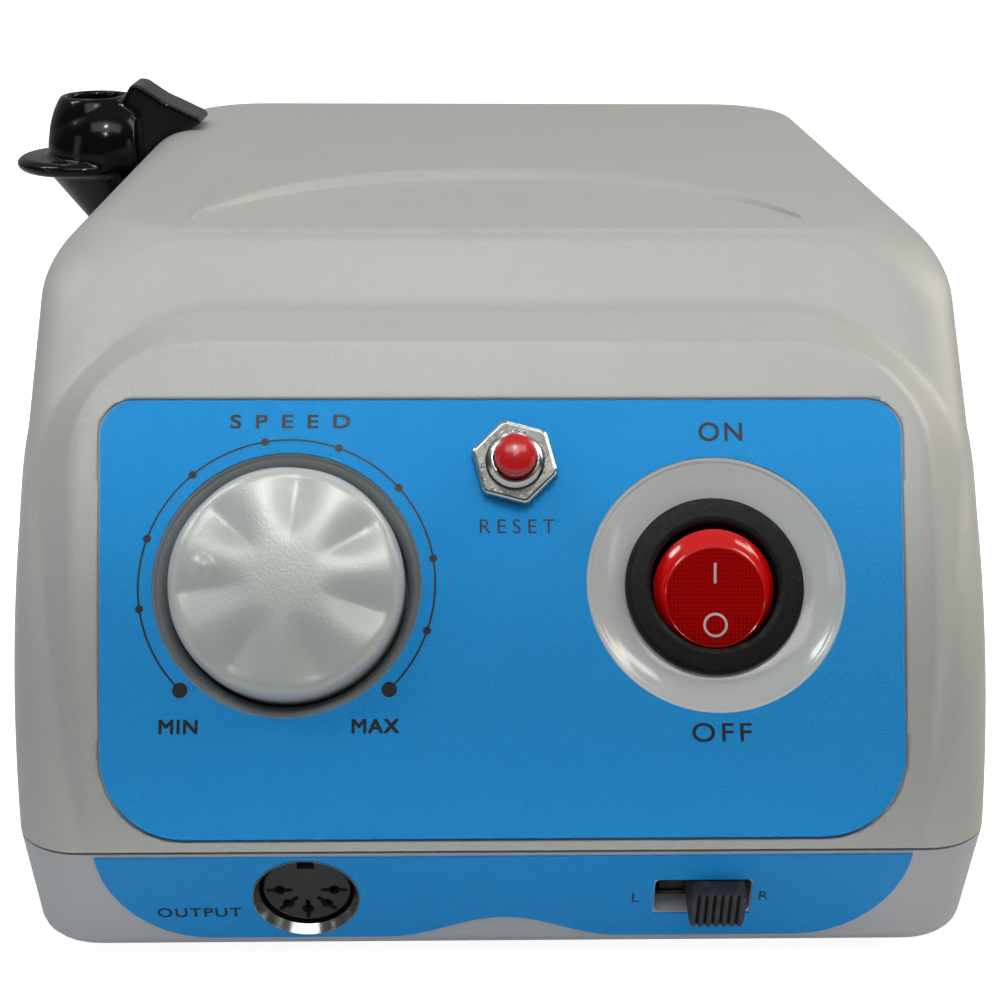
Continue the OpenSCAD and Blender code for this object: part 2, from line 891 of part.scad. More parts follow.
module overload_body() {
    low = deep - 20;
    color(black)
        on_panel(button_u, button_s)
            difference() {
                block(14, 12, low, deep - seat);
                bar(button_bush_d / 2 + seat, deep - 1 - seat, 1);
                bar(button_d / 2 + fit, deep - 6 - button_stroke - fit, 0);
                for (x = [-4, 4])
                    translate([x, 0, 0])
                        block(0.9, 4.9, low - 1, low + 4);
            }
}

module overload_terminals() {
    low = deep - 20;
    color(brass)
        on_panel(button_u, button_s)
            for (x = [-4, 4])
                translate([x, 0, 0])
                    block(0.8, 4.8, low - 7, low + 3.9);
}

module motor_socket_shell() {
    outer = shell_r + shell_t;
    color(steel)
        on_chin(socket_u, socket_t)
            difference() {
                union() {
                    bar(outer, -socket_depth, label_t + 0.1);
                    difference() {
                        block(2 * outer + 10, 12.6, -tray_wall - 1.1, -tray_wall - 0.1);
                        for (sx = [-1, 1])
                            translate([sx * (shell_r + 3.4), 0, 0])
                                bar(1 + seat, -9, 0);
                    }
                }
                bar(shell_r, -socket_depth - 1, 2);
            }
}

contact_angles = [for (i = [0:4]) 180 + 45 * i];

module motor_socket_insert() {
    color(black)
        on_chin(socket_u, socket_t)
            difference() {
                union() {
                    bar(shell_r - seat, -socket_depth, -8);
                    bar(shell_r - 1.2, -8.1, -1.8);
                }
                for (a = contact_angles)
                    rotate([0, 0, a])
                        translate([contact_pcd / 2, 0, 0])
                            bar(0.95, -socket_depth - 1, 0);
                translate([0, shell_r - 1.4, 0])
                    block(2.2, 2.4, -7, 0);
            }
}

module motor_socket_contacts() {
    color(brass)
        on_chin(socket_u, socket_t)
            for (a = contact_angles)
                rotate([0, 0, a])
                    translate([contact_pcd / 2, 0, 0])
                        difference() {
                            union() {
                                bar(0.93, -socket_depth, -3.2);
                                bar(0.5, -socket_depth - 4.5, -socket_depth + 0.2);
                            }
                            bar(0.72, -9.5, 0);
                        }
}

module motor_socket_screws() {
    color(steel)
        on_chin(socket_u, socket_t)
            for (sx = [-1, 1])
                translate([sx * (shell_r + 3.4), 0, -tray_wall - 2.4])
                    rotate([180, 0, 0])
                        pan_screw(1, 1.9, 1.25, tray_wall + 0.2);
}

module direction_slider() {
    ribs = 6;
    pitch = slider_l / (ribs + 1);
    color(black)
        on_chin(slide_u + slider_rest, slide_t) {
            difference() {
                plate(slider_l, slider_h, slot_r, -tray_wall - 1.6, slider_rise);
                for (i = [0:ribs - 1])
                    translate([(i - (ribs - 1) / 2) * pitch, -0.8, 0])
                        block(0.45, slider_h, slider_rise - 0.6, slider_rise + 1);
            }
            block(slider_l + 6, slider_h + 1.7, -tray_wall - 3, -tray_wall - 1.2);
        }
}

module direction_switch_frame() {
    front = -tray_wall - 0.1;
    color(steel)
        on_chin(slide_u, slide_t)
            difference() {
                union() {
                    block(slot_l + 20, 8.6, front - 0.7, front);
                    for (sy = [-1, 1])
                        translate([0, sy * 5.2, 0])
                            block(slot_l + 9, 0.6, front - 6.5, front);
                    block(slot_l + 9, 11, front - 0.7, front);
                }
                block(slot_l + 0.4, slot_h + 0.2, front - 2, front + 1);
                for (sx = [-1, 1])
                    translate([sx * (slot_l / 2 + 7.5), 0, 0])
                        bar(1 + seat, front - 2, front + 1);
            }
}

module direction_switch_base() {
    front = -tray_wall - 0.85;
    carriage = slider_l + 6 + slider_travel + 2 * fit;
    color([0.32, 0.18, 0.08])
        on_chin(slide_u, slide_t) {
            difference() {
                block(carriage + 3, 9.6, front - 6.5, front);
                block(carriage, slider_h + 1.7 + 2 * fit, front - 2.7, front + 1);
            }
            for (x = [-6, 0, 6])
                translate([x, 0, 0])
                    block(1.4, 0.5, front - 10, front - 6);
        }
}

module direction_switch_screws() {
    color(steel)
        on_chin(slide_u, slide_t)
            for (sx = [-1, 1])
                translate([sx * (slot_l / 2 + 7.5), 0, -tray_wall - 2.1])
                    rotate([180, 0, 0])
                        pan_screw(1, 1.9, 1.25, tray_wall - 0.1);
}

module transformer_core() {
    color([0.42, 0.43, 0.45])
        translate([core_x, core_y, 0])
            difference() {
                block(core_w, core_t, core_z, core_z + core_h);
                for (sx = [-1, 1])
                    translate([sx * (limb_w + window_w) / 2, 0, 0])
                        block(window_w, core_t + 2, core_z + (core_h - window_h) / 2,
                            core_z + (core_h + window_h) / 2);
            }
}

module transformer_winding() {
    mid = core_z + core_h / 2;
    deep_y = core_t + 2 * winding_out;
    color([0.80, 0.72, 0.34])
        translate([core_x, core_y, 0])
            difference() {
                union() {
                    block(limb_w + 2 * window_w - 2, deep_y - 2, mid - window_h / 2 + 1.6, mid + window_h / 2 - 1.6);
                    for (e = [mid - window_h / 2 + 0.2, mid + window_h / 2 - 1.8])
                        block(limb_w + 2 * window_w - 0.4, deep_y, e, e + 1.6);
                }
                block(limb_w + 0.2, core_t + 0.2, core_z, core_z + core_h);
            }
}

module transformer_bracket() {
    top = core_z + core_h + seat;
    color(steel)
        translate([core_x, core_y, 0])
            difference() {
                union() {
                    block(core_w + 2 * strap_t, strap_w, top, top + strap_t);
                    for (sx = [-1, 1]) {
                        translate([sx * (core_w / 2 + strap_t / 2 + seat), 0, 0])
                            block(strap_t, strap_w, core_z, top + strap_t);
                        translate([sx * ear_x, 0, 0])
                            block(ear_l, strap_w, core_z, core_z + strap_t);
                    }
                }
                for (sx = [-1, 1])
                    translate([sx * ear_x, 0, 0])
                        bar(1.9 + seat, core_z - 1, core_z + 2);
            }
}

module transformer_screws() {
    color(steel)
        for (sx = [-1, 1])
            translate([core_x + sx * ear_x, core_y, core_z + strap_t + seat + 2.4])
                pan_screw(1.9, 3.6, 2.4, strap_t + 4);
}

module circuit_board() {
    color([0.10, 0.34, 0.20])
        difference() {
            translate([0, board_y, 0])
                block(board_w, board_d, board_z, board_top);
            for (p = board_holes)
                translate([p[0], p[1], 0])
                    bar(board_screw_r + 0.2, board_z - 1, board_top + 1);
        }
}

module board_screws() {
    color(steel)
        for (p = board_holes)
            translate([p[0], p[1], board_top + seat + 2])
                pan_screw(board_screw_r, board_head_r, 2, board_t + 4);
}

module filter_capacitors() {
    color([0.09, 0.11, 0.22])
        for (x = capacitor_x)
            translate([x, capacitor_y, board_top])
                difference() {
                    bar(capacitor_r, seat, capacitor_h);
                    for (a = [0, 90])
                        rotate([0, 0, a])
                            block(capacitor_r * 1.1, 0.5, capacitor_h - 0.4, capacitor_h + 1);
                }
}

module heat_sink() {
    color([0.16, 0.16, 0.17])
        translate([sink_x, sink_y, board_top]) {
            block(sink_w, sink_plate, seat, sink_h);
            for (i = [-4:4])
                translate([i * fin_pitch, sink_plate / 2 + fin_l / 2 - 0.5, 0])
                    block(1.2, fin_l, seat, sink_h);
        }
}

module power_transistor() {
    color(black)
        translate([sink_x, sink_y - sink_plate / 2 - seat, 0]) {
            difference() {
                translate([0, -2.3, 0])
                    block(10, 4.6, board_top + 5, board_top + 14);
                translate([-8, -6, board_top + 3])
                    cube([16, 2, 3]);
            }
            difference() {
                translate([0, -0.6, 0])
                    block(10, 1.2, board_top + 13, board_top + 20);
                translate([0, 1, board_top + 17])
                    rotate([90, 0, 0])
                        cylinder(r = 1.6, h = 4);
            }
            for (i = [-1:1])
                translate([i * 2.54, -2.4, 0])
                    block(0.8, 0.6, board_top + seat, board_top + 6.5);
        }
}

module bridge_rectifier() {
    color(black)
        translate([bridge_x, bridge_y, 0]) {
            block(19, 6, board_top + 2.5, board_top + 13);
            for (i = [0:3])
                translate([-7.5 + i * 5, 0, 0])
                    block(0.9, 0.9, board_top + seat, board_top + 3);
        }
}

module relay() {
    color([0.16, 0.34, 0.55])
        translate([relay_x, relay_y, 0])
            block(19, 15.2, board_top + seat, board_top + 15);
}

module fuse_holder() {
    color(black)
        on_rear(fuse_x, rear_z)
            difference() {
                union() {
                    bar(fuse_r, -fuse_len, 0.1);
                    bar(fuse_r + 2, seat, 2);
                }
                bar(3, -fuse_len + 2, 3);
                bar(fuse_r - 1.4, -6, 3);
            }
}

module fuse_nut() {
    color(black)
        on_rear(fuse_x, rear_z)
            difference() {
                hex_bar(2 * fuse_r + 4, -wall - 4, -wall - seat);
                bar(fuse_r + seat, -20, 0);
            }
}

module fuse_cap() {
    color(black)
        on_rear(fuse_x, rear_z)
            difference() {
                union() {
                    bar(fuse_r - 1.4 - run, -5.6, 2.4);
                    bar(fuse_r + 0.8, 2 + fit, 5.5);
                }
                block(8, 1.4, 4, 6);
            }
}

module fuse_link() {
    color([0.85, 0.88, 0.90])
        on_rear(fuse_x, rear_z) {
            bar(2.3, -27, -7);
            bar(2.6, -27, -21.5);
            bar(2.6, -12.5, -7);
        }
}

module foot_jack() {
    bush = jack_d / 2 + 1.3;
    color(black)
        on_rear(jack_x, rear_z)
            difference() {
                union() {
                    block(15, 15, -wall - 22, -wall - seat);
                    bar(bush, -wall - 1, 4);
                }
                bar(jack_d / 2, -wall - 19, 5);
            }
}

module foot_jack_nut() {
    color(steel)
        on_rear(jack_x, rear_z)
            difference() {
                hex_bar(jack_d + 6.5, seat, 2.4);
                bar(jack_d / 2 + 1.3 + seat, -1, 4);
            }
}

module mains_gland() {
    r = gland_d / 2;
    color(black)
        on_rear(gland_x, rear_z)
            difference() {
                union() {
                    bar(r + 2.5, -wall - 4, 0.1);
                    bar(r + 4.5, seat, 3);
                    bar(r + 3.2, -wall - 2.2, -wall - seat);
                }
                bar(r, -wall - 5, 4);
            }
}

// The arm that hooks over the shoulder of the case, drawn across and up.
module cup_arm() {
    gap = 0.4;
    hook_x = -(half_w - 0.5 - shoulder_r);
    hook = arc([-hook_x, top_z - shoulder_r], shoulder_r + gap, 90, 0, 8);
    nub_x = cup_x + 8.5;
    rotate([90, 0, 0])
        linear_extrude(11, center = true)
            polygon(concat(
                [for (p = hook) [-p[0], p[1]]],
                [
                    [plate_x - 0.4, top_z - shoulder_r - 1], [plate_x - 0.4, cup_cone - 7],
                    [cup_x, cup_cone - 7], [cup_x, cup_rim_z - 1.5], [nub_x - 2.6, cup_rim_z - 0.3],
                    [nub_x - 0.9, cup_rim_z + 2.5], [nub_x + 0.7, cup_rim_z + 2.3], [nub_x + 4.5, cup_rim_z - 0.3]
                ],
                [[hook_x + 1.4, top_z + 2.4], [hook_x + 1.9, top_z + 1.4]]
            ));
}

module handpiece_cup() {
    lip_r = lip_d / 2;
    lip_x = -3;
    a1 = acos(cup_rim_r / cup_r);
    dome = [for (i = [0:8]) [cup_r * cos(a1 * i / 8), cup_waist + dome_h * sin(a1 * i / 8)]];
    color(black)
        difference() {
            union() {
                translate([cup_x, cup_y, 0]) {
                    intersection() {
                        rotate_extrude()
                            polygon(concat(
                                [[0, cup_tip], [cup_tip_r, cup_tip], [cup_r, cup_cone]],
                                dome, [[0, cup_rim_z]]
                            ));
                        translate([-cup_d, -cup_d, cup_tip - 1])
                            cube([cup_d + plate_x - cup_x, 2 * cup_d, 50]);
                    }
                    intersection() {
                        translate([lip_x, 0, 0])
                            rotate_extrude()
                                polygon([
                                    [0, cup_cone - 0.2], [lip_r - 1, cup_cone + 0.9], [lip_r, cup_cone + 1.7],
                                    [lip_r, cup_cone + 2.7], [lip_r - 1, cup_cone + 3.5], [0, cup_cone + 4]
                                ]);
                        translate([-lip_d, -lip_d, cup_tip])
                            cube([lip_d + 4, 2 * lip_d, 30]);
                    }
                }
                translate([0, cup_y, 0])
                    cup_arm();
                translate([plate_x - plate_t, cup_y - plate_w / 2, plate_low])
                    cube([plate_t, plate_w, plate_high - plate_low]);
            }
            translate([cup_x, cup_y, 0])
                bar(cup_bore_r, cup_bore_floor, cup_rim_z + 6);
            for (y = plate_screws)
                translate([plate_x, y, plate_screw_z])
                    rotate([0, 90, 0])
                        bar(screw_r + seat, -plate_t - 1, 1);
        }
}

module handpiece_cup_screws() {
    color(steel)
        for (y = plate_screws)
            translate([cup_wall_in + 2, y, plate_screw_z])
                rotate([0, 90, 0])
                    pan_screw(screw_r, 2.8, 2, wall + plate_t - 0.2);
}

upper_housing();
lower_tray();
front_label();
lower_label();
rubber_feet();
housing_screws();
speed_knob();
potentiometer_shaft();
potentiometer_bush();
potentiometer_nut();
potentiometer_body();
potentiometer_terminals();
power_switch_body();
power_rocker();
power_switch_terminals();
overload_button();
overload_bush();
overload_nut();
overload_body();
overload_terminals();
motor_socket_shell();
motor_socket_insert();
motor_socket_contacts();
motor_socket_screws();
direction_slider();
direction_switch_frame();
direction_switch_base();
direction_switch_screws();
transformer_core();
transformer_winding();
transformer_bracket();
transformer_screws();
circuit_board();
board_screws();
filter_capacitors();
heat_sink();
power_transistor();
bridge_rectifier();
relay();
fuse_holder();
fuse_nut();
fuse_cap();
fuse_link();
foot_jack();
foot_jack_nut();
mains_gland();
handpiece_cup();
handpiece_cup_screws();
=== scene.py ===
"""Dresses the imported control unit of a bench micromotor: shapes, finishes, light and camera.

Lengths are in millimetres until a mesh is settled in the shared frame, and in metres from then on.
"""

from __future__ import annotations

import json
import logging
import math
from dataclasses import dataclass
from enum import Enum
from functools import cache
from typing import Callable, Sequence

import bmesh
import bpy
from mathutils import Matrix, Vector

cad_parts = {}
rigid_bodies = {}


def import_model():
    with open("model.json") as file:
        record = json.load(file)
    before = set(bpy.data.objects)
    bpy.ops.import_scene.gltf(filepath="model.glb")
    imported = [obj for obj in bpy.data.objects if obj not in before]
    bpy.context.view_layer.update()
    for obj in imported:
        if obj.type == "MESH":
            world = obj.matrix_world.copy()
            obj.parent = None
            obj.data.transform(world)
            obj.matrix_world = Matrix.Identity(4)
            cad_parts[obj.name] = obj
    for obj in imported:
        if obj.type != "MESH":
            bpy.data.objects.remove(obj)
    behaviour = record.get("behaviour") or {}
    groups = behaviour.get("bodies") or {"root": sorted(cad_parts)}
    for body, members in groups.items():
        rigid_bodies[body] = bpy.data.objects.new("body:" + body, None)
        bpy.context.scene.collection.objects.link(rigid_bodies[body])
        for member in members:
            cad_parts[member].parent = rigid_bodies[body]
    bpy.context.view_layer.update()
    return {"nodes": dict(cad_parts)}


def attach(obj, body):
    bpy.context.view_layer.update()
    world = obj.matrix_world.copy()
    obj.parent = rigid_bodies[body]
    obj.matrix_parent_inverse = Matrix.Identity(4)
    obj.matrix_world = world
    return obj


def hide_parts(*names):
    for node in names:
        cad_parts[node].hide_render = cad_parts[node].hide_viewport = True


LOG = logging.getLogger("control_unit")
MM = 0.001
SEAM = Vector((0.0, -95.0, 19.5))

Mesh = bmesh.types.BMesh
Socket = bpy.types.NodeSocket
Nodes = dict[str, bpy.types.Object]
Pair = tuple[float, float]
Spot = tuple[float, float, float]
Colour = tuple[float, float, float]
Profile = Sequence[Pair]
Rings = Sequence[Sequence[Vector]]


class Plane(Enum):
    """A flat face that carries controls, by the lean of its upward edge from the bench in degrees."""

    PANEL = 56.5
    CHIN = 105.0

    def frame(self, u: float, v: float, n: float = 0.0, turn: float = 0.0) -> Matrix:
        """Gives the place of a control on this face.

        Args:
            u: Distance to the right of the middle.
            v: Distance up the face from the seam.
            n: Height over the face.
            turn: Turn about the face's normal, in degrees.

        Returns:
            A matrix with x to the right, y up the face and z outwards.
        """
        lean = math.radians(self.value)
        up = Vector((0.0, math.cos(lean), math.sin(lean)))
        out = Vector((0.0, -math.sin(lean), math.cos(lean)))
        place = Matrix(((1.0, 0.0, 0.0), (0.0, up.y, out.y), (0.0, up.z, out.z))).to_4x4()
        place.translation = SEAM + Vector((u, 0.0, 0.0)) + up * v + out * n
        return place @ Matrix.Rotation(math.radians(turn), 4, "Z")


class Pattern(Enum):
    """A regular relief that a finish carries over its grain."""

    PLAIN = "plain"
    LATTICE = "lattice"
    LAYERS = "layers"


def smoothstep(low: float, high: float, x: float) -> float:
    """Gives 0 below low, 1 above high and a smooth rise between them."""
    t = min(max((x - low) / (high - low), 0.0), 1.0)
    return t * t * (3.0 - 2.0 * t)


def arc(centre: Pair, radius: float, start: float, end: float, steps: int) -> list[Pair]:
    """Gives points along an arc, with its angles in degrees."""
    angles = [math.radians(start + (end - start) * i / steps) for i in range(steps + 1)]
    return [(centre[0] + radius * math.cos(a), centre[1] + radius * math.sin(a)) for a in angles]


def close_up(bm: Mesh, gap: float = 0.002) -> Mesh:
    """Merges coincident points, drops flat faces and turns all faces outwards."""
    bmesh.ops.remove_doubles(bm, verts=bm.verts, dist=gap)
    bmesh.ops.dissolve_degenerate(bm, edges=bm.edges, dist=gap * 0.5)
    bmesh.ops.recalc_face_normals(bm, faces=bm.faces)
    return bm


def lathe(profile: Profile, steps: int = 96, ring: bool = False) -> Mesh:
    """Spins a profile of radius and height about z.

    Args:
        profile: Points from one end of the profile to the other.
        steps: Number of steps in the turn.
        ring: Whether the last point joins the first.

    Returns:
        The closed turned form.
    """
    bm = bmesh.new()
    verts = [bm.verts.new((r, 0.0, z)) for r, z in profile]
    edges = [bm.edges.new(pair) for pair in zip(verts, verts[1:])]
    if ring:
        edges.append(bm.edges.new((verts[-1], verts[0])))
    bmesh.ops.spin(
        bm, geom=verts + edges, cent=(0, 0, 0), axis=(0, 0, 1), angle=2 * math.pi, steps=steps, use_merge=True
    )
    return close_up(bm)


def rod(radius: float, low: float, high: float, steps: int) -> Mesh:
    """Gives an upright round rod."""
    return lathe([(0, low), (radius, low), (radius, high), (0, high)], steps)


def slab(outline: Profile, low: float, high: float) -> Mesh:
    """Extrudes a closed outline from low to high."""
    bm = bmesh.new()
    face = bm.faces.new([bm.verts.new((x, y, low)) for x, y in outline])
    made = bmesh.ops.extrude_face_region(bm, geom=[face])["geom"]
    lifted = [v for v in made if isinstance(v, bmesh.types.BMVert)]
    bmesh.ops.translate(bm, vec=(0, 0, high - low), verts=lifted)
    return close_up(bm)


def loft(rings: Rings, closed: bool = True) -> Mesh:
    """Wraps a grid over a stack of rings that have the same number of points.

    Args:
        rings: Rings in order along the form.
        closed: Whether each ring joins up with its own start.

    Returns:
        The lofted skin, merged and turned outwards.
    """
    around = len(rings[0])
    columns = around if closed else around - 1
    bm = bmesh.new()
    bmesh.ops.create_grid(bm, x_segments=columns, y_segments=len(rings) - 1, size=0.5)
    for vert in bm.verts:
        column = round((vert.co.x + 0.5) * columns) % around
        row = round((vert.co.y + 0.5) * (len(rings) - 1))
        vert.co = rings[row][column]
    return close_up(bm)


def turn_ring(radius: Callable[[float], float], height: Callable[[float], float], steps: int) -> list[Vector]:
    """Gives a ring whose radius and height follow the angle in radians."""
    angles = [2 * math.pi * i / steps for i in range(steps)]
    return [Vector((radius(a) * math.cos(a), radius(a) * math.sin(a), height(a))) for a in angles]


def soften(bm: Mesh, width: float, angle: float = 40.0, segments: int = 2) -> Mesh:
    """Bevels the edges that are sharper than an angle in degrees."""
    limit = math.radians(angle)
    edges = [e for e in bm.edges if len(e.link_faces) == 2 and e.calc_face_angle() > limit]
    bmesh.ops.bevel(
        bm, geom=edges, offset=width, offset_type="OFFSET", affect="EDGES",
        segments=segments, profile=0.5, material=-1, clamp_overlap=True,
    )
    return bm


def shift(bm: Mesh, place: Matrix) -> Mesh:
    """Moves a bmesh to its place."""
    bmesh.ops.transform(bm, matrix=place, verts=bm.verts)
    return bm


def tint(bm: Mesh, index: int) -> Mesh:
    """Gives all faces of a bmesh one material index."""
    for face in bm.faces:
        face.material_index = index
    return bm


def gather(*parts: Mesh) -> Mesh:
    """Joins several bmeshes into the first one."""
    whole = parts[0]
    for part in parts[1:]:
        mesh = bpy.data.meshes.new("gathered")
        part.to_mesh(mesh)
        part.free()
        whole.from_mesh(mesh)
        bpy.data.meshes.remove(mesh)
    return whole


def to_object(bm: Mesh, name: str) -> bpy.types.Object:
    """Turns a bmesh, which is used up, into an object of the scene."""
    mesh = bpy.data.meshes.new(name)
    bm.to_mesh(mesh)
    bm.free()
    made = bpy.data.objects.new(name, mesh)
    bpy.context.scene.collection.objects.link(made)
    return made


def applied(held: bpy.types.Object, *helpers: bpy.types.Object) -> Mesh:
    """Gives an object's form with its modifiers applied, and discards it and its helpers."""
    bpy.context.view_layer.update()
    result = bmesh.new()
    result.from_mesh(held.evaluated_get(bpy.context.evaluated_depsgraph_get()).to_mesh())
    for used in (held, *helpers):
        bpy.data.batch_remove([used, used.data])
    return result


def carve(body: Mesh, cutters: Mesh) -> Mesh:
    """Cuts one closed bmesh out of another with an applied Boolean."""
    held, cutter = to_object(body, "carved"), to_object(cutters, "cutter")
    cut = held.modifiers.new("cut", "BOOLEAN")
    cut.operation = "DIFFERENCE"
    cut.solver = "EXACT"
    cut.object = cutter
    return applied(held, cutter)


def melt(bm: Mesh, grid: float, passes: int) -> Mesh:
    """Runs overlapping closed forms together into one soft moulding.

    Args:
        bm: The forms, which is used up.
        grid: Size of the grid that they are rebuilt on.
        passes: How often the result is eased.

    Returns:
        The moulding.
    """
    held = to_object(bm, "melted")
    merge = held.modifiers.new("merge", "REMESH")
    merge.mode = "VOXEL"
    merge.voxel_size = grid
    ease = held.modifiers.new("ease", "SMOOTH")
    ease.factor = 0.5
    ease.iterations = passes
    return applied(held)


def settle(
    name: str,
    bm: Mesh,
    finishes: Sequence[Finish],
    body: str,
    slot: str,
    nodes: Sequence[str] = (),
    place: Matrix | None = None,
    crease: float = 35.0,
    weigh: bool = False,
) -> bpy.types.Object:
    """Turns a bmesh in millimetres into a finished piece in the shared frame.

    Args:
        name: Name of the piece.
        bm: The form, which is used up.
        finishes: Finishes, in the order of the faces' material indices.
        body: Body that the piece rides on.
        slot: Material slot of the record. Not used.
        nodes: Nodes that the piece stands for.
        place: Where the form's own frame sits, in millimetres.
        crease: Angle in degrees past which an edge stays sharp.
        weigh: Whether large faces keep their own normals beside narrow bevels.

    Returns:
        The finished object.
    """
    plan = bm.loops.layers.uv.get("plan") or bm.loops.layers.uv.new("plan")
    for face in bm.faces:
        face.smooth = True
        for loop in face.loops:
            loop[plan].uv = loop.vert.co.xy
    shift(bm, Matrix.Scale(MM, 4) @ (place or Matrix.Identity(4)))
    piece = to_object(bm, name)
    piece.data.set_sharp_from_angle(angle=math.radians(crease))
    for finish in finishes:
        piece.data.materials.append(finish.material())
    if weigh:
        piece.modifiers.new("weigh", "WEIGHTED_NORMAL").keep_sharp = True
    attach(piece, body)
    if nodes:
        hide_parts(*nodes)
    LOG.info("%s: %d faces on %s", name, len(piece.data.polygons), body)
    return piece


def model_copy(node: bpy.types.Object) -> Mesh:
    """Gives a merged copy of a model node in millimetres, with its flat faces whole again."""
    bm = bmesh.new()
    bm.from_mesh(node.data)
    shift(bm, Matrix.Scale(1.0 / MM, 4))
    bmesh.ops.remove_doubles(bm, verts=bm.verts, dist=0.004)
    bmesh.ops.dissolve_degenerate(bm, edges=bm.edges, dist=0.002)
    bmesh.ops.dissolve_limit(
        bm, angle_limit=math.radians(0.4), use_dissolve_boundaries=False,
        verts=bm.verts, edges=bm.edges, delimit=set(),
    )
    return tint(bm, 0)


class Graph:
    """A node tree with short calls to add nodes and links."""

    def __init__(self, tree: bpy.types.NodeTree) -> None:
        """Takes the tree to draw in."""
        self.tree = tree

    def feed(self, node: bpy.types.Node, inputs: dict[str | int, object]) -> None:
        """Sets or links a node's inputs.

        Args:
            node: The node.
            inputs: Socket values or output sockets to link, by socket name or number.
        """
        for key, value in inputs.items():
            if isinstance(value, Socket):
                self.tree.links.new(value, node.inputs[key])
            else:
                node.inputs[key].default_value = value

    def node(
        self, kind: str, inputs: dict[str | int, object] | None = None, **settings: object
    ) -> bpy.types.Node:
        """Adds a node.

        Args:
            kind: Node type.
            inputs: What feed takes.
            **settings: Properties of the node.

        Returns:
            The new node.
        """
        made = self.tree.nodes.new(kind)
        for key, value in settings.items():
            setattr(made, key, value)
        self.feed(made, inputs or {})
        return made

    def group(self, tree: bpy.types.NodeTree, inputs: dict[str, object]) -> bpy.types.NodeOutputs:
        """Adds a node group and gives its outputs."""
        return self.node("ShaderNodeGroup", inputs, node_tree=tree).outputs

    def math(self, operation: str, *values: object) -> Socket:
        """Adds a Math node and gives its result."""
        return self.node("ShaderNodeMath", dict(enumerate(values)), operation=operation).outputs[0]

    def noise(self, where: Socket, scale: object, detail: float, rough: float = 0.5) -> Socket:
        """Adds a Noise node and gives its value."""
        inputs = {"Vector": where, "Scale": scale, "Detail": detail, "Roughness": rough}
        return self.node("ShaderNodeTexNoise", inputs).outputs[0]

    def blend(self, factor: object, first: object, second: object) -> Socket:
        """Mixes two colours by a factor and gives the result."""
        mix = self.node("ShaderNodeMix", {0: factor, 6: first, 7: second}, data_type="RGBA")
        return mix.outputs[2]

    def span(self, value: Socket, low: float, high: float, to_low: float, to_high: float) -> Socket:
        """Maps a value from one span to another, held at the ends."""
        inputs = {0: value, 1: low, 2: high, 3: to_low, 4: to_high}
        return self.node("ShaderNodeMapRange", inputs).outputs[0]


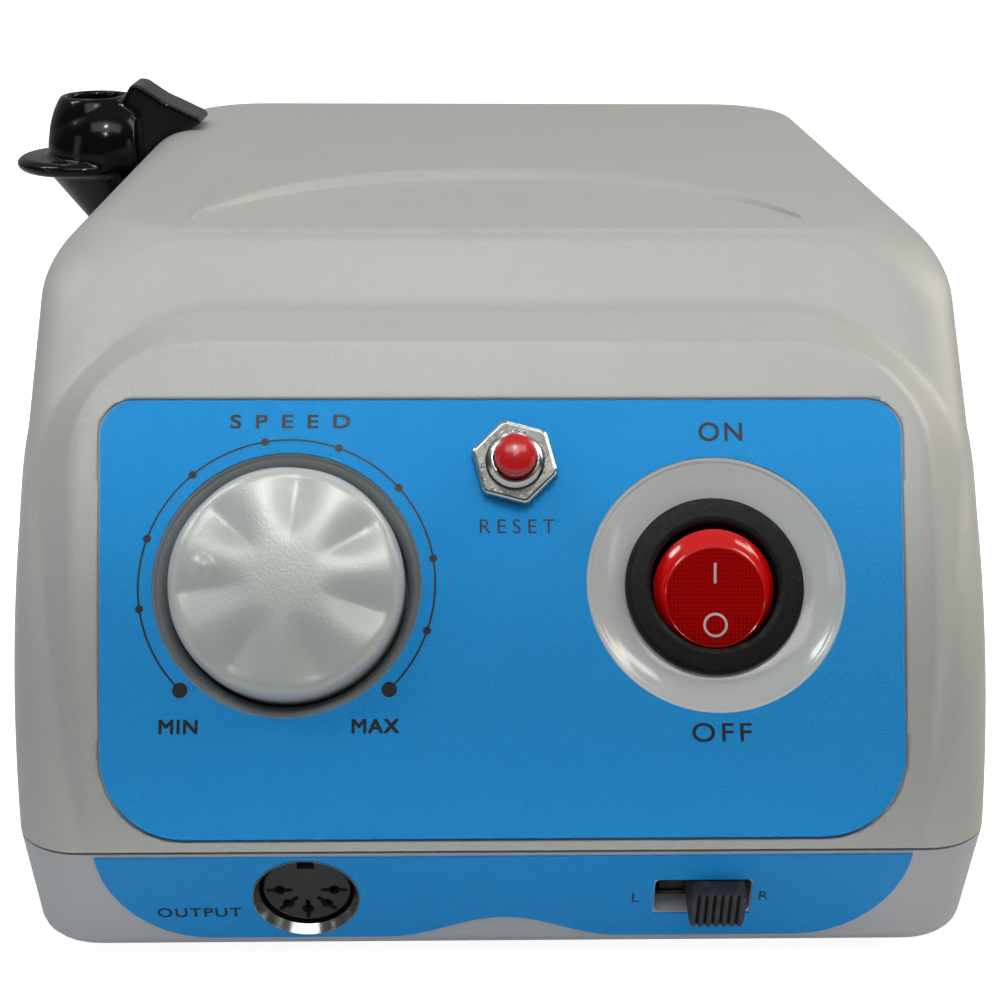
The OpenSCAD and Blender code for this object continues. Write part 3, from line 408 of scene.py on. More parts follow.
class Effects:
    """Shader node groups that several finishes share, each built once."""

    @staticmethod
    def _start(
        name: str, takes: dict[str, str], gives: dict[str, str]
    ) -> tuple[Graph, bpy.types.NodeOutputs, bpy.types.Node]:
        """Opens a new group with named sockets and gives its graph, what it takes and its output node."""
        tree = bpy.data.node_groups.new(name, "ShaderNodeTree")
        for sockets, way in ((takes, "INPUT"), (gives, "OUTPUT")):
            for label, kind in sockets.items():
                tree.interface.new_socket(label, in_out=way, socket_type="NodeSocket" + kind)
        graph = Graph(tree)
        return graph, graph.node("NodeGroupInput").outputs, graph.node("NodeGroupOutput")

    @classmethod
    @cache
    def grain(cls) -> bpy.types.NodeTree:
        """Gives the fine moulded grain, with bright flecks scattered in it."""
        takes = {"Vector": "Vector", "Scale": "Float", "Fleck": "Float"}
        graph, given, result = cls._start("moulded_grain", takes, {"Height": "Float", "Fleck": "Float"})
        fine = graph.noise(given["Vector"], given["Scale"], 2.0, 0.6)
        cell_scale = graph.math("MULTIPLY", given["Scale"], 1.7)
        cells = graph.node("ShaderNodeTexVoronoi", {"Vector": given["Vector"], "Scale": cell_scale}).outputs
        height = graph.math("ADD", fine, graph.math("MULTIPLY", cells["Distance"], 0.45))
        parts = graph.node("ShaderNodeSeparateColor", {0: cells["Color"]})
        level = graph.math("SUBTRACT", 1.0, given["Fleck"])
        lit = graph.math("GREATER_THAN", parts.outputs[0], level)
        core = graph.span(cells["Distance"], 0.25, 0.55, 1.0, 0.0)
        graph.feed(result, {"Height": height, "Fleck": graph.math("MULTIPLY", lit, core)})
        return graph.tree

    @classmethod
    @cache
    def drift(cls) -> bpy.types.NodeTree:
        """Gives the slow change of tone over a surface."""
        takes = {"Vector": "Vector", "Scale": "Float", "First": "Color", "Second": "Color"}
        graph, given, result = cls._start("tone_drift", takes, {"Color": "Color", "Value": "Float"})
        slow = graph.noise(given["Vector"], given["Scale"], 4.0)
        mid = graph.noise(given["Vector"], graph.math("MULTIPLY", given["Scale"], 9.0), 3.0)
        both = graph.math("ADD", graph.math("MULTIPLY", slow, 0.65), graph.math("MULTIPLY", mid, 0.35))
        value = graph.span(both, 0.32, 0.68, 0.0, 1.0)
        graph.feed(result, {"Color": graph.blend(value, given["First"], given["Second"]), "Value": value})
        return graph.tree

    @classmethod
    @cache
    def wear_and_glint(cls) -> bpy.types.NodeTree:
        """Gives the rubbed look of proud edges, lightened towards the worn colour; where that colour is near
        white, as on the nut, the lightening is also a painted highlight.
        """
        takes = {"Vector": "Vector", "Color": "Color", "Worn and glint": "Color", "Amount": "Float"}
        graph, given, result = cls._start("edge_wear_and_glint", takes, {"Color": "Color", "Mask": "Float"})
        shape = graph.node("ShaderNodeNewGeometry")
        proud = graph.span(shape.outputs["Pointiness"], 0.51, 0.6, 0.0, 1.0)
        broken = graph.span(graph.noise(given["Vector"], 420.0, 4.0), 0.38, 0.62, 0.25, 1.0)
        mask = graph.math("MULTIPLY", graph.math("MULTIPLY", proud, broken), given["Amount"])
        graph.feed(result, {"Color": graph.blend(mask, given["Color"], given["Worn and glint"]), "Mask": mask})
        return graph.tree

    @classmethod
    @cache
    def dust(cls) -> bpy.types.NodeTree:
        """Gives the thin dust that settles on faces that look up."""
        takes = {"Vector": "Vector", "Color": "Color", "Amount": "Float"}
        graph, given, result = cls._start("settled_dust", takes, {"Color": "Color", "Mask": "Float"})
        shape = graph.node("ShaderNodeNewGeometry")
        parts = graph.node("ShaderNodeSeparateXYZ", {0: shape.outputs["Normal"]})
        level = graph.span(parts.outputs[2], 0.5, 1.0, 0.0, 1.0)
        loose = graph.span(graph.noise(given["Vector"], 900.0, 6.0), 0.45, 0.75, 0.0, 1.0)
        mask = graph.math("MULTIPLY", graph.math("MULTIPLY", level, loose), given["Amount"])
        grey = (0.62, 0.6, 0.56, 1.0)
        graph.feed(result, {"Color": graph.blend(mask, given["Color"], grey), "Mask": mask})
        return graph.tree


@dataclass(frozen=True)
class Finish:
    """One surface finish, with its colours as displayed values from 0 to 1.

    The grain is in features per metre, and its height in metres.
    """

    name: str
    colour: Colour
    second: Colour
    rough: Pair = (0.4, 0.5)
    metal: float = 0.0
    grain: float = 2600.0
    grain_height: float = 0.00004
    grain_strength: float = 0.3
    fleck: float = 0.0
    fleck_colour: Colour = (1.0, 1.0, 1.0)
    drift: float = 18.0
    worn_and_glint: Colour = (0.85, 0.85, 0.83)
    wear_and_glint: float = 0.12
    dust: float = 0.08
    coat: float = 0.0
    coat_rough: float = 0.06
    specular: float = 0.5
    tint: Colour = (1.0, 1.0, 1.0)
    clear: float = 0.0
    soft: float = 0.0
    pattern: Pattern = Pattern.PLAIN
    pitch: float = 0.55

    @staticmethod
    def linear(colour: Colour) -> tuple[float, float, float, float]:
        """Gives a displayed colour as linear light with full alpha."""
        lit = [c / 12.92 if c <= 0.04045 else ((c + 0.055) / 1.055) ** 2.4 for c in colour]
        return (lit[0], lit[1], lit[2], 1.0)

    def _relief(self, graph: Graph, where: Socket) -> Socket | None:
        """Draws the regular relief of the finish.

        Args:
            graph: The material's graph.
            where: Object coordinates.

        Returns:
            The relief from 0 to 1, or nothing for a plain finish.
        """
        def wave(value: Socket, pitch: float) -> Socket:
            """Gives a sine wave from 0 to 1 along a value."""
            phase = graph.math("MULTIPLY", value, 2 * math.pi / pitch)
            return graph.math("MULTIPLY", graph.math("ADD", graph.math("SINE", phase), 1.0), 0.5)

        if self.pattern is Pattern.LATTICE:
            plan = graph.node("ShaderNodeUVMap", uv_map="plan").outputs[0]
            parts = graph.node("ShaderNodeSeparateXYZ", {0: plan}).outputs
            return graph.math("MULTIPLY", wave(parts[0], self.pitch), wave(parts[1], self.pitch))
        if self.pattern is Pattern.LAYERS:
            parts = graph.node("ShaderNodeSeparateXYZ", {0: where}).outputs
            return wave(parts[1], self.pitch * MM)
        return None

    def material(self) -> bpy.types.Material:
        """Builds the material, or gives the one that is already built."""
        label = "finish_" + self.name
        found = bpy.data.materials.get(label)
        if found:
            return found
        made = bpy.data.materials.new(label)
        made.use_nodes = True
        graph = Graph(made.node_tree)
        where = graph.node("ShaderNodeTexCoord").outputs["Object"]
        first, second, worn_and_glint = (self.linear(c) for c in (self.colour, self.second, self.worn_and_glint))
        tones = {"Vector": where, "Scale": self.drift, "First": first, "Second": second}
        drift = graph.group(Effects.drift(), tones)
        grain = graph.group(Effects.grain(), {"Vector": where, "Scale": self.grain, "Fleck": self.fleck})
        tone, height = drift["Color"], grain["Height"]
        relief = self._relief(graph, where)
        if self.fleck:
            tone = graph.blend(grain["Fleck"], tone, self.linear(self.fleck_colour))
        if relief is not None:
            # Blends the relief's low parts towards a darker copy of the colour: painted shade in the
            # lattice's pits, and dark joints between the layers.
            shade = tuple(0.45 * c for c in first[:3]) + (1.0,)
            tone = graph.blend(graph.span(relief, 0.0, 0.6, 0.75, 0.0), tone, shade)
            fine = graph.math("MULTIPLY", height, 0.4)
            height = graph.math("ADD", graph.math("MULTIPLY", relief, 2.5), fine)
        edges = {"Vector": where, "Color": tone, "Worn and glint": worn_and_glint, "Amount": self.wear_and_glint}
        rubbed_and_glint = graph.group(Effects.wear_and_glint(), edges)["Color"]
        dust = graph.group(Effects.dust(), {"Vector": where, "Color": rubbed_and_glint, "Amount": self.dust})
        rough = graph.span(drift["Value"], 0.0, 1.0, *self.rough)
        rough = graph.math("ADD", rough, graph.math("MULTIPLY", dust["Mask"], 0.25))
        skin = {"Strength": self.grain_strength, "Distance": self.grain_height, "Height": height}
        normal = graph.node("ShaderNodeBump", skin).outputs[0]
        graph.feed(made.node_tree.nodes["Principled BSDF"], {
            "Base Color": dust["Color"], "Roughness": rough, "Normal": normal, "Metallic": self.metal,
            "Specular IOR Level": self.specular, "Specular Tint": self.tint + (1.0,),
            "Coat Weight": self.coat, "Coat Roughness": self.coat_rough, "Transmission Weight": self.clear,
            "Subsurface Weight": self.soft, "Subsurface Scale": 0.0015,
        })
        return made


CASE_PEARL = Finish(
    "case_pearl", (0.745, 0.747, 0.727), (0.73, 0.733, 0.713), rough=(0.33, 0.37), metal=0.1,
    grain=4200.0, grain_height=0.00006, grain_strength=0.9, fleck=0.03,
    fleck_colour=(0.82, 0.822, 0.81), worn_and_glint=(0.8, 0.8, 0.78), wear_and_glint=0.1,
)
TRAY_PEARL = Finish(
    "tray_pearl", (0.79, 0.795, 0.81), (0.775, 0.78, 0.795), rough=(0.34, 0.37), metal=0.1,
    grain=4200.0, grain_height=0.00006, grain_strength=0.9, fleck=0.03,
    fleck_colour=(0.83, 0.835, 0.84), wear_and_glint=0.0,
)
DISH_GLOSS = Finish(
    "dish_gloss", (0.84, 0.85, 0.84), (0.82, 0.83, 0.825), rough=(0.2, 0.26), grain=900.0,
    grain_height=0.00002, grain_strength=0.1, coat=0.8, coat_rough=0.09, soft=0.1, wear_and_glint=0.0, dust=0.0,
)
# A darker grey for the wall of the knob's pocket: painted shade in the recess.
POCKET_PAINTED_SHADE = Finish(
    "pocket_painted_shade", (0.58, 0.6, 0.61), (0.56, 0.58, 0.59), rough=(0.3, 0.36), grain=4200.0, wear_and_glint=0.0,
    dust=0.0,
)
FILM_BLUE = Finish(
    "film_blue", (0.0, 0.605, 0.95), (0.0, 0.608, 0.953), rough=(0.24, 0.27), metal=0.05, specular=0.9,
    tint=(0.4, 1.0, 1.0), grain=4600.0, grain_height=0.00013, grain_strength=1.0, fleck=0.06,
    fleck_colour=(0.06, 0.67, 0.98), wear_and_glint=0.0, dust=0.0,
)
INK_BLACK = Finish(
    "ink_black", (0.05, 0.05, 0.06), (0.08, 0.08, 0.09), rough=(0.4, 0.55), wear_and_glint=0.0, dust=0.02,
)
INK_WHITE = Finish("ink_white", (0.93, 0.8, 0.82), (0.9, 0.76, 0.78), rough=(0.4, 0.5), wear_and_glint=0.0, dust=0.0)
KNOB_PEARL = Finish(
    "knob_pearl", (0.82, 0.835, 0.815), (0.805, 0.825, 0.805), rough=(0.3, 0.34), metal=0.15,
    grain=2600.0, grain_height=0.00006, grain_strength=0.5, fleck=0.03, fleck_colour=(0.85, 0.86, 0.85),
    wear_and_glint=0.0, dust=0.0,
)
CHROME = Finish(
    "chrome", (0.86, 0.86, 0.85), (0.78, 0.78, 0.77), rough=(0.12, 0.26), metal=1.0, grain=2400.0,
    grain_height=0.00003, grain_strength=0.25, drift=220.0, wear_and_glint=0.2, dust=0.02,
)
# Its near-white worn colour on the edges is partly wear and partly a painted highlight along the nut's
# chamfers.
NUT_STEEL = Finish(
    "nut_steel", (0.62, 0.62, 0.6), (0.46, 0.46, 0.45), rough=(0.24, 0.36), metal=1.0, grain=3600.0,
    grain_height=0.0001, grain_strength=0.9, drift=420.0, worn_and_glint=(0.95, 0.95, 0.93), wear_and_glint=0.5, dust=0.0,
)
SCREW_STEEL = Finish(
    "screw_steel", (0.72, 0.72, 0.73), (0.6, 0.61, 0.62), rough=(0.25, 0.42), metal=1.0, drift=150.0,
)
BRASS = Finish("brass", (0.8, 0.67, 0.38), (0.66, 0.53, 0.29), rough=(0.25, 0.42), metal=1.0, drift=150.0)
CAN_STEEL = Finish(
    "can_steel", (0.64, 0.65, 0.66), (0.55, 0.56, 0.57), rough=(0.3, 0.45), metal=1.0, drift=90.0,
)
SWITCH_BLACK = Finish(
    "switch_black", (0.06, 0.063, 0.07), (0.08, 0.083, 0.09), rough=(0.42, 0.55), grain=3000.0,
    grain_height=0.00008, grain_strength=0.5, fleck=0.03, fleck_colour=(0.26, 0.27, 0.28),
    worn_and_glint=(0.3, 0.31, 0.32), wear_and_glint=0.25, specular=0.22,
)
ROCKER_LENS = Finish(
    "rocker_lens", (0.82, 0.02, 0.02), (0.74, 0.01, 0.01), rough=(0.16, 0.24), grain=1200.0,
    grain_height=0.00003, grain_strength=0.25, coat=0.05, soft=0.2, specular=0.2, drift=120.0, wear_and_glint=0.0,
    dust=0.0, pattern=Pattern.LATTICE, pitch=0.53,
)
ROCKER_EDGE = Finish(
    "rocker_edge", (0.95, 0.06, 0.05), (0.9, 0.04, 0.03), rough=(0.1, 0.18), grain=900.0,
    grain_height=0.00002, grain_strength=0.1, coat=0.6, soft=0.25, drift=120.0, worn_and_glint=(0.95, 0.35, 0.3),
    wear_and_glint=0.3, dust=0.0,
)
BUTTON_RED = Finish(
    "button_red", (0.84, 0.11, 0.12), (0.78, 0.08, 0.1), rough=(0.22, 0.3), grain=1500.0,
    grain_height=0.00002, grain_strength=0.15, coat=0.7, soft=0.15, drift=160.0, worn_and_glint=(0.95, 0.5, 0.48),
    wear_and_glint=0.15, dust=0.0,
)
INSERT_BLACK = Finish(
    "insert_black", (0.17, 0.17, 0.18), (0.2, 0.2, 0.21), rough=(0.45, 0.6), grain=2600.0,
    worn_and_glint=(0.4, 0.4, 0.4),
)
SLIDER_BLACK = Finish(
    "slider_black", (0.15, 0.15, 0.16), (0.19, 0.18, 0.185), rough=(0.4, 0.55), grain=2600.0,
    worn_and_glint=(0.42, 0.41, 0.41), wear_and_glint=0.35,
)
RUBBER = Finish(
    "rubber", (0.09, 0.09, 0.09), (0.12, 0.12, 0.12), rough=(0.75, 0.9), grain=1800.0,
    grain_height=0.00008, specular=0.3, worn_and_glint=(0.3, 0.3, 0.3),
)
CUP_BLACK = Finish(
    "cup_black", (0.035, 0.037, 0.04), (0.05, 0.05, 0.053), rough=(0.12, 0.18), grain=700.0,
    grain_height=0.00002, grain_strength=0.12, specular=0.25, worn_and_glint=(0.25, 0.26, 0.26), wear_and_glint=0.0,
    dust=0.0,
)
FITTING_BLACK = Finish(
    "fitting_black", (0.11, 0.11, 0.115), (0.15, 0.15, 0.155), rough=(0.32, 0.45),
    worn_and_glint=(0.35, 0.35, 0.35), wear_and_glint=0.3,
)
PHENOLIC = Finish("phenolic", (0.4, 0.25, 0.14), (0.33, 0.2, 0.11), rough=(0.4, 0.55), drift=120.0)
LAMINATION = Finish(
    "lamination", (0.45, 0.45, 0.46), (0.34, 0.33, 0.33), rough=(0.4, 0.6), metal=0.8, drift=80.0,
    pattern=Pattern.LAYERS, pitch=1.0,
)
WINDING_TAPE = Finish("winding_tape", (0.85, 0.72, 0.2), (0.78, 0.64, 0.16), rough=(0.25, 0.4), drift=90.0)
BOARD_GREEN = Finish("board_green", (0.12, 0.36, 0.2), (0.08, 0.28, 0.15), rough=(0.25, 0.4), drift=160.0)
CAPACITOR_SLEEVE = Finish(
    "capacitor_sleeve", (0.1, 0.12, 0.26), (0.07, 0.09, 0.2), rough=(0.2, 0.35), drift=140.0,
)
ANODISED = Finish(
    "anodised", (0.17, 0.17, 0.18), (0.12, 0.12, 0.13), rough=(0.35, 0.5), metal=0.6, drift=140.0,
)
EPOXY = Finish("epoxy", (0.1, 0.1, 0.105), (0.14, 0.14, 0.145), rough=(0.45, 0.6), drift=140.0)
RELAY_CASE = Finish("relay_case", (0.18, 0.36, 0.57), (0.14, 0.3, 0.5), rough=(0.25, 0.4), drift=140.0)
FUSE_GLASS = Finish(
    "fuse_glass", (0.92, 0.95, 0.95), (0.88, 0.92, 0.92), rough=(0.03, 0.06), grain_strength=0.05,
    clear=0.85, wear_and_glint=0.0,
)
FLOOR_PALE = Finish(
    "floor_pale", (0.88, 0.88, 0.88), (0.87, 0.87, 0.87), rough=(0.8, 0.9), grain=300.0, dust=0.0,
    wear_and_glint=0.0,
)


@dataclass
class SpeedControl:
    """The knob, its pocket and its printed scale."""

    u: float = -28.1
    v: float = 34.4
    radius: float = 15.3
    rise: float = 4.2
    crown: float = 0.9
    edge: float = 2.2
    skirt_low: float = -6.1
    skirt_wall: float = 2.0
    web: float = -0.7
    bore_radius: float = 3.02
    bore_top: float = 0.85
    boss_radius: float = 5.2
    boss_low: float = -3.8
    face_rings: int = 45
    waves: int = 7
    wave_depth: float = 1.15
    first_dip: float = 187.0
    pointer: float = 171.6
    pointer_reach: float = 0.7
    pointer_radius: float = 1.75
    pointer_height: float = 0.8
    pocket_radius: float = 17.3
    pocket_floor: float = -6.5
    wall: float = 2.5
    shaft_radius: float = 3.75
    steps: int = 288
    scale_radius: float = 19.25
    scale_line: float = 0.13
    scale_start: float = 226.0
    scale_end: float = -46.0
    scale_dots: tuple[float, ...] = (190.0, 162.0, 131.0, 99.7, 70.2, 41.4, 9.8, -18.9)
    dot_radius: float = 0.53
    end_radius: float = 1.0

    def _dip(self, reach: float, angle: float) -> float:
        """Gives how far the finger waves sink the face at a radius and an angle in radians."""
        turn = self.waves * (angle - math.radians(self.first_dip)) / 2
        valley = 1.0 - math.sqrt(math.sin(turn) ** 2 + 0.03)
        grow = smoothstep(0.26 * self.radius, 0.74 * self.radius, reach)
        fade = 1.0 - 0.45 * smoothstep(0.82 * self.radius, self.radius, reach)
        return self.wave_depth * valley * grow * fade

    def _bump(self, reach: float, angle: float) -> float:
        """Gives the height of the pointer's bump at a radius and an angle in radians."""
        mark = math.radians(self.pointer)
        far = Vector((reach * math.cos(angle), reach * math.sin(angle)))
        near = Vector((math.cos(mark), math.sin(mark))) * self.radius * self.pointer_reach
        gap = (far - near).length / self.pointer_radius
        return self.pointer_height * (1.0 - gap * gap) ** 1.5 if gap < 1.0 else 0.0

    def _face(self, reach: float, height: float) -> list[Vector]:
        """Gives one ring of the waved face at a radius and an unwaved height."""
        lifted = smoothstep(-1.6, 1.6, height)
        return turn_ring(
            lambda a: reach,
            lambda a: height + self._bump(reach, a) - lifted * self._dip(reach, a),
            self.steps,
        )

    def _plain(self, reach: float, height: float) -> list[Vector]:
        """Gives one plain round ring."""
        return turn_ring(lambda a: reach, lambda a: height, self.steps)

    def build(self) -> None:
        """Builds the knob on its own body."""
        r, low, bore, boss = self.radius, self.skirt_low, self.bore_radius, self.boss_radius
        hollow = [(0.0, self.bore_top), (bore, self.bore_top), (bore, self.boss_low), (boss, self.boss_low)]
        hollow += [(boss, self.web), (r - self.skirt_wall, self.web), (r - self.skirt_wall, low)]
        hollow += [(r - 0.45, low), (r - 0.12, low + 0.3)]
        rings = [self._plain(reach, height) for reach, height in hollow]
        top = self.rise - self.crown * ((r - self.edge) / r) ** 2
        foot = low + 0.6
        rings += [self._face(r, foot + (top - self.edge - foot) * i / 6) for i in range(6)]
        rim = (r - self.edge, top - self.edge)
        rings += [self._face(x, z) for x, z in arc(rim, self.edge, 0.0, 82.0, 12)]
        inner = r - self.edge - 0.2
        for i in range(self.face_rings + 1):
            reach = inner * (1.0 - i / self.face_rings)
            rings.append(self._face(reach, self.rise - self.crown * (reach / r) ** 2))
        settle(
            "knob_waved", loft(rings), [KNOB_PEARL], "knob", "knob_pearl", ["speed_knob"],
            Plane.PANEL.frame(self.u, self.v),
        )

    def pocket(self) -> Mesh:
        """Gives the cup that the knob turns in, in the case's frame."""
        r, low = self.pocket_radius, self.pocket_floor
        profile = [(self.shaft_radius + 0.1, low), (r - 2.0, low)]
        profile += arc((r - 2.0, low + 0.4), 0.4, -80.0, -5.0, 4)
        profile += [(r - 1.6, -2.9), (r - 0.35, -0.7)] + arc((r + 0.45, -0.63), 0.65, 180.0, 95.0, 6)
        profile += [(r + 1.3, 0.02), (r + 1.3, -self.wall), (r + 0.6, low - self.wall)]
        profile += [(self.shaft_radius + 0.1, low - self.wall)]
        return shift(lathe(profile, 144, ring=True), Plane.PANEL.frame(self.u, self.v))

    def opening(self) -> Mesh:
        """Gives the hole that the pocket needs in the panel."""
        r = self.pocket_radius + 0.7
        return shift(rod(r, -9.5, 4, 144), Plane.PANEL.frame(self.u, self.v))

    def scale(self, height: float) -> Mesh:
        """Gives the printed arc and its dots, in the case's frame.

        Args:
            height: Height of the print over the panel.

        Returns:
            The printed marks.
        """
        top = height + 0.02
        line = arc((0, 0), self.scale_radius + self.scale_line, self.scale_start, self.scale_end, 120)
        line += arc((0, 0), self.scale_radius - self.scale_line, self.scale_end, self.scale_start, 120)
        marks = [slab(line, height, top)]
        dots = [(a, self.dot_radius) for a in self.scale_dots]
        dots += [(a, self.end_radius) for a in (self.scale_start, self.scale_end)]
        for angle, size in dots:
            a = math.radians(angle)
            dot = rod(size, height, top + 0.005, 32)
            place = Matrix.Translation((self.scale_radius * math.cos(a), self.scale_radius * math.sin(a), 0))
            marks.append(shift(dot, place))
        return shift(gather(*marks), Plane.PANEL.frame(self.u, self.v))


@dataclass
class PowerSwitch:
    """The dished ring, the round bezel and the lit rocker."""

    u: float = 27.8
    v: float = 34.3
    dish_radius: float = 16.75
    dish_floor: float = -4.5
    seat: float = -2.2
    floor_radius: float = 11.9
    barrel_radius: float = 9.9
    bezel_radius: float = 11.75
    bezel_top: float = -0.8
    opening_radius: float = 8.4
    barrel_low: float = -24.0
    pivot: float = -4.3
    wing: float = 12.0
    face_radius: float = 6.45
    face_offset: float = -0.95
    face_rise: float = 3.1
    face_bend: float = 4.0
    rocker_radius: float = 7.95
    skirt_radius: float = 7.75
    face_rings: int = 14
    shoulder_rings: int = 10
    bar_half: Pair = (0.17, 1.35)
    bar_up: float = 2.2
    ring_radii: Pair = (1.27, 1.6)
    ring_up: float = -4.6
    ink: float = 0.04
    wall: float = 2.5
    steps: int = 144

    def dish(self) -> Mesh:
        """Gives the dished ring, in the case's frame."""
        r, low = self.dish_radius, self.dish_floor
        profile = [(self.barrel_radius + 0.05, self.seat), (self.floor_radius, self.seat)]
        profile += [(r - 0.95, -0.62), (r - 0.8, -0.42)] + arc((r + 0.1, -0.5), 0.55, 165.0, 95.0, 6)
        profile += [(r + 1.1, 0.02), (r + 1.1, -self.wall), (self.floor_radius + 1.5, low - self.wall)]
        profile += [(self.barrel_radius + 0.05, low - self.wall)]
        return shift(lathe(profile, self.steps, ring=True), Plane.PANEL.frame(self.u, self.v))

    def opening(self) -> Mesh:
        """Gives the hole that the dish needs in the panel."""
        r = self.dish_radius + 0.5
        return shift(rod(r, -9, 4, self.steps), Plane.PANEL.frame(self.u, self.v))

    def _face_height(self, y: float) -> float:
        """Gives the height of the bent rocker face over its pivot at a distance up the face."""
        return self.face_rise + math.tan(math.radians(self.face_bend)) * (math.sqrt(y * y + 1.5) - 1.2)

    def _rocker(self) -> Mesh:
        """Gives the rocker in its own frame: a bent lattice face, a clear shoulder and a round skirt."""
        rings: list[list[Vector]] = []
        for i in range(self.face_rings + 1):
            reach = self.face_radius * i / self.face_rings
            ring = turn_ring(lambda a: reach, lambda a: 0.0, self.steps)
            places = [(p.x, p.y + self.face_offset) for p in ring]
            rings.append([Vector((x, y, self._face_height(y))) for x, y in places])
        inner = rings[-1]
        outer = turn_ring(lambda a: self.rocker_radius, lambda a: 0.0, self.steps)
        for i in range(1, self.shoulder_rings + 1):
            t = i / self.shoulder_rings
            drop = 0.12 * math.sin(math.pi * min(t * 5, 1.0)) - 1.55 * t ** 1.6
            fall = Vector((0, 0, drop))
            rings.append([p.lerp(Vector((q.x, q.y, p.z)), t) + fall for p, q in zip(inner, outer)])
        for z in (-0.6, -1.6, -2.6, -3.6):
            reach = min(self.rocker_radius, math.sqrt(self.skirt_radius ** 2 - z * z))
            rings.append(turn_ring(lambda a: reach, lambda a: z, self.steps))
        rings.append([Vector((0, 0, -3.6))] * self.steps)
        bm = loft(rings)
        for face in bm.faces:
            far = face.calc_center_median() - Vector((0, self.face_offset, 0))
            face.material_index = 0 if far.xy.length < self.face_radius and far.z > 0 else 1
        return bm

    def _signs(self) -> Mesh:
        """Gives the printed bar and ring of the rocker, in its own frame."""
        bend = math.radians(self.face_bend)
        x, y = self.bar_half
        bar = slab([(-x, -y), (x, -y), (x, y), (-x, y)], 0.0, self.ink)
        inner, outer = self.ring_radii
        ring = lathe([(inner, 0), (outer, 0), (outer, self.ink), (inner, self.ink)], 56, ring=True)
        for sign, y, tilt in ((bar, self.bar_up, bend), (ring, self.ring_up, -bend)):
            place = Matrix.Translation((0, y, self._face_height(y) + 0.01))
            shift(sign, place @ Matrix.Rotation(tilt, 4, "X"))
        return gather(bar, ring)

    def build(self) -> None:
        """Builds the bezel on the case and the rocker on its own body."""
        r, top = self.bezel_radius, self.bezel_top
        profile = [(0, self.barrel_low), (self.barrel_radius - 0.5, self.barrel_low)]
        profile += [(self.barrel_radius, self.barrel_low + 0.5), (self.barrel_radius, self.seat + 0.02)]
        profile += [(r, self.seat + 0.02), (r, top - 0.75)] + arc((r - 0.25, top - 0.7), 0.25, 0.0, 90.0, 4)
        profile += [(r - 0.42, top - 0.45)] + arc((r - 0.72, top - 0.32), 0.3, 0.0, 85.0, 4)
        profile += [(self.opening_radius + 1.5, top - 0.08)]
        profile += arc((self.opening_radius + 0.8, top - 0.8), 0.8, 80.0, 180.0, 8)
        profile += [(self.opening_radius, self.pivot - 7.2), (0, self.pivot - 7.2)]
        settle(
            "switch_bezel", lathe(profile, self.steps), [SWITCH_BLACK], "case", "switch_black",
            ["power_switch_body"], Plane.PANEL.frame(self.u, self.v),
        )
        place = Plane.PANEL.frame(self.u, self.v, self.pivot)
        place = place @ Matrix.Rotation(math.radians(self.wing), 4, "X")
        settle(
            "rocker", self._rocker(), [ROCKER_LENS, ROCKER_EDGE], "rocker", "rocker_red",
            ["power_rocker"], place, 25.0,
        )
        settle("rocker_signs", self._signs(), [INK_WHITE], "rocker", "rocker_red", (), place)


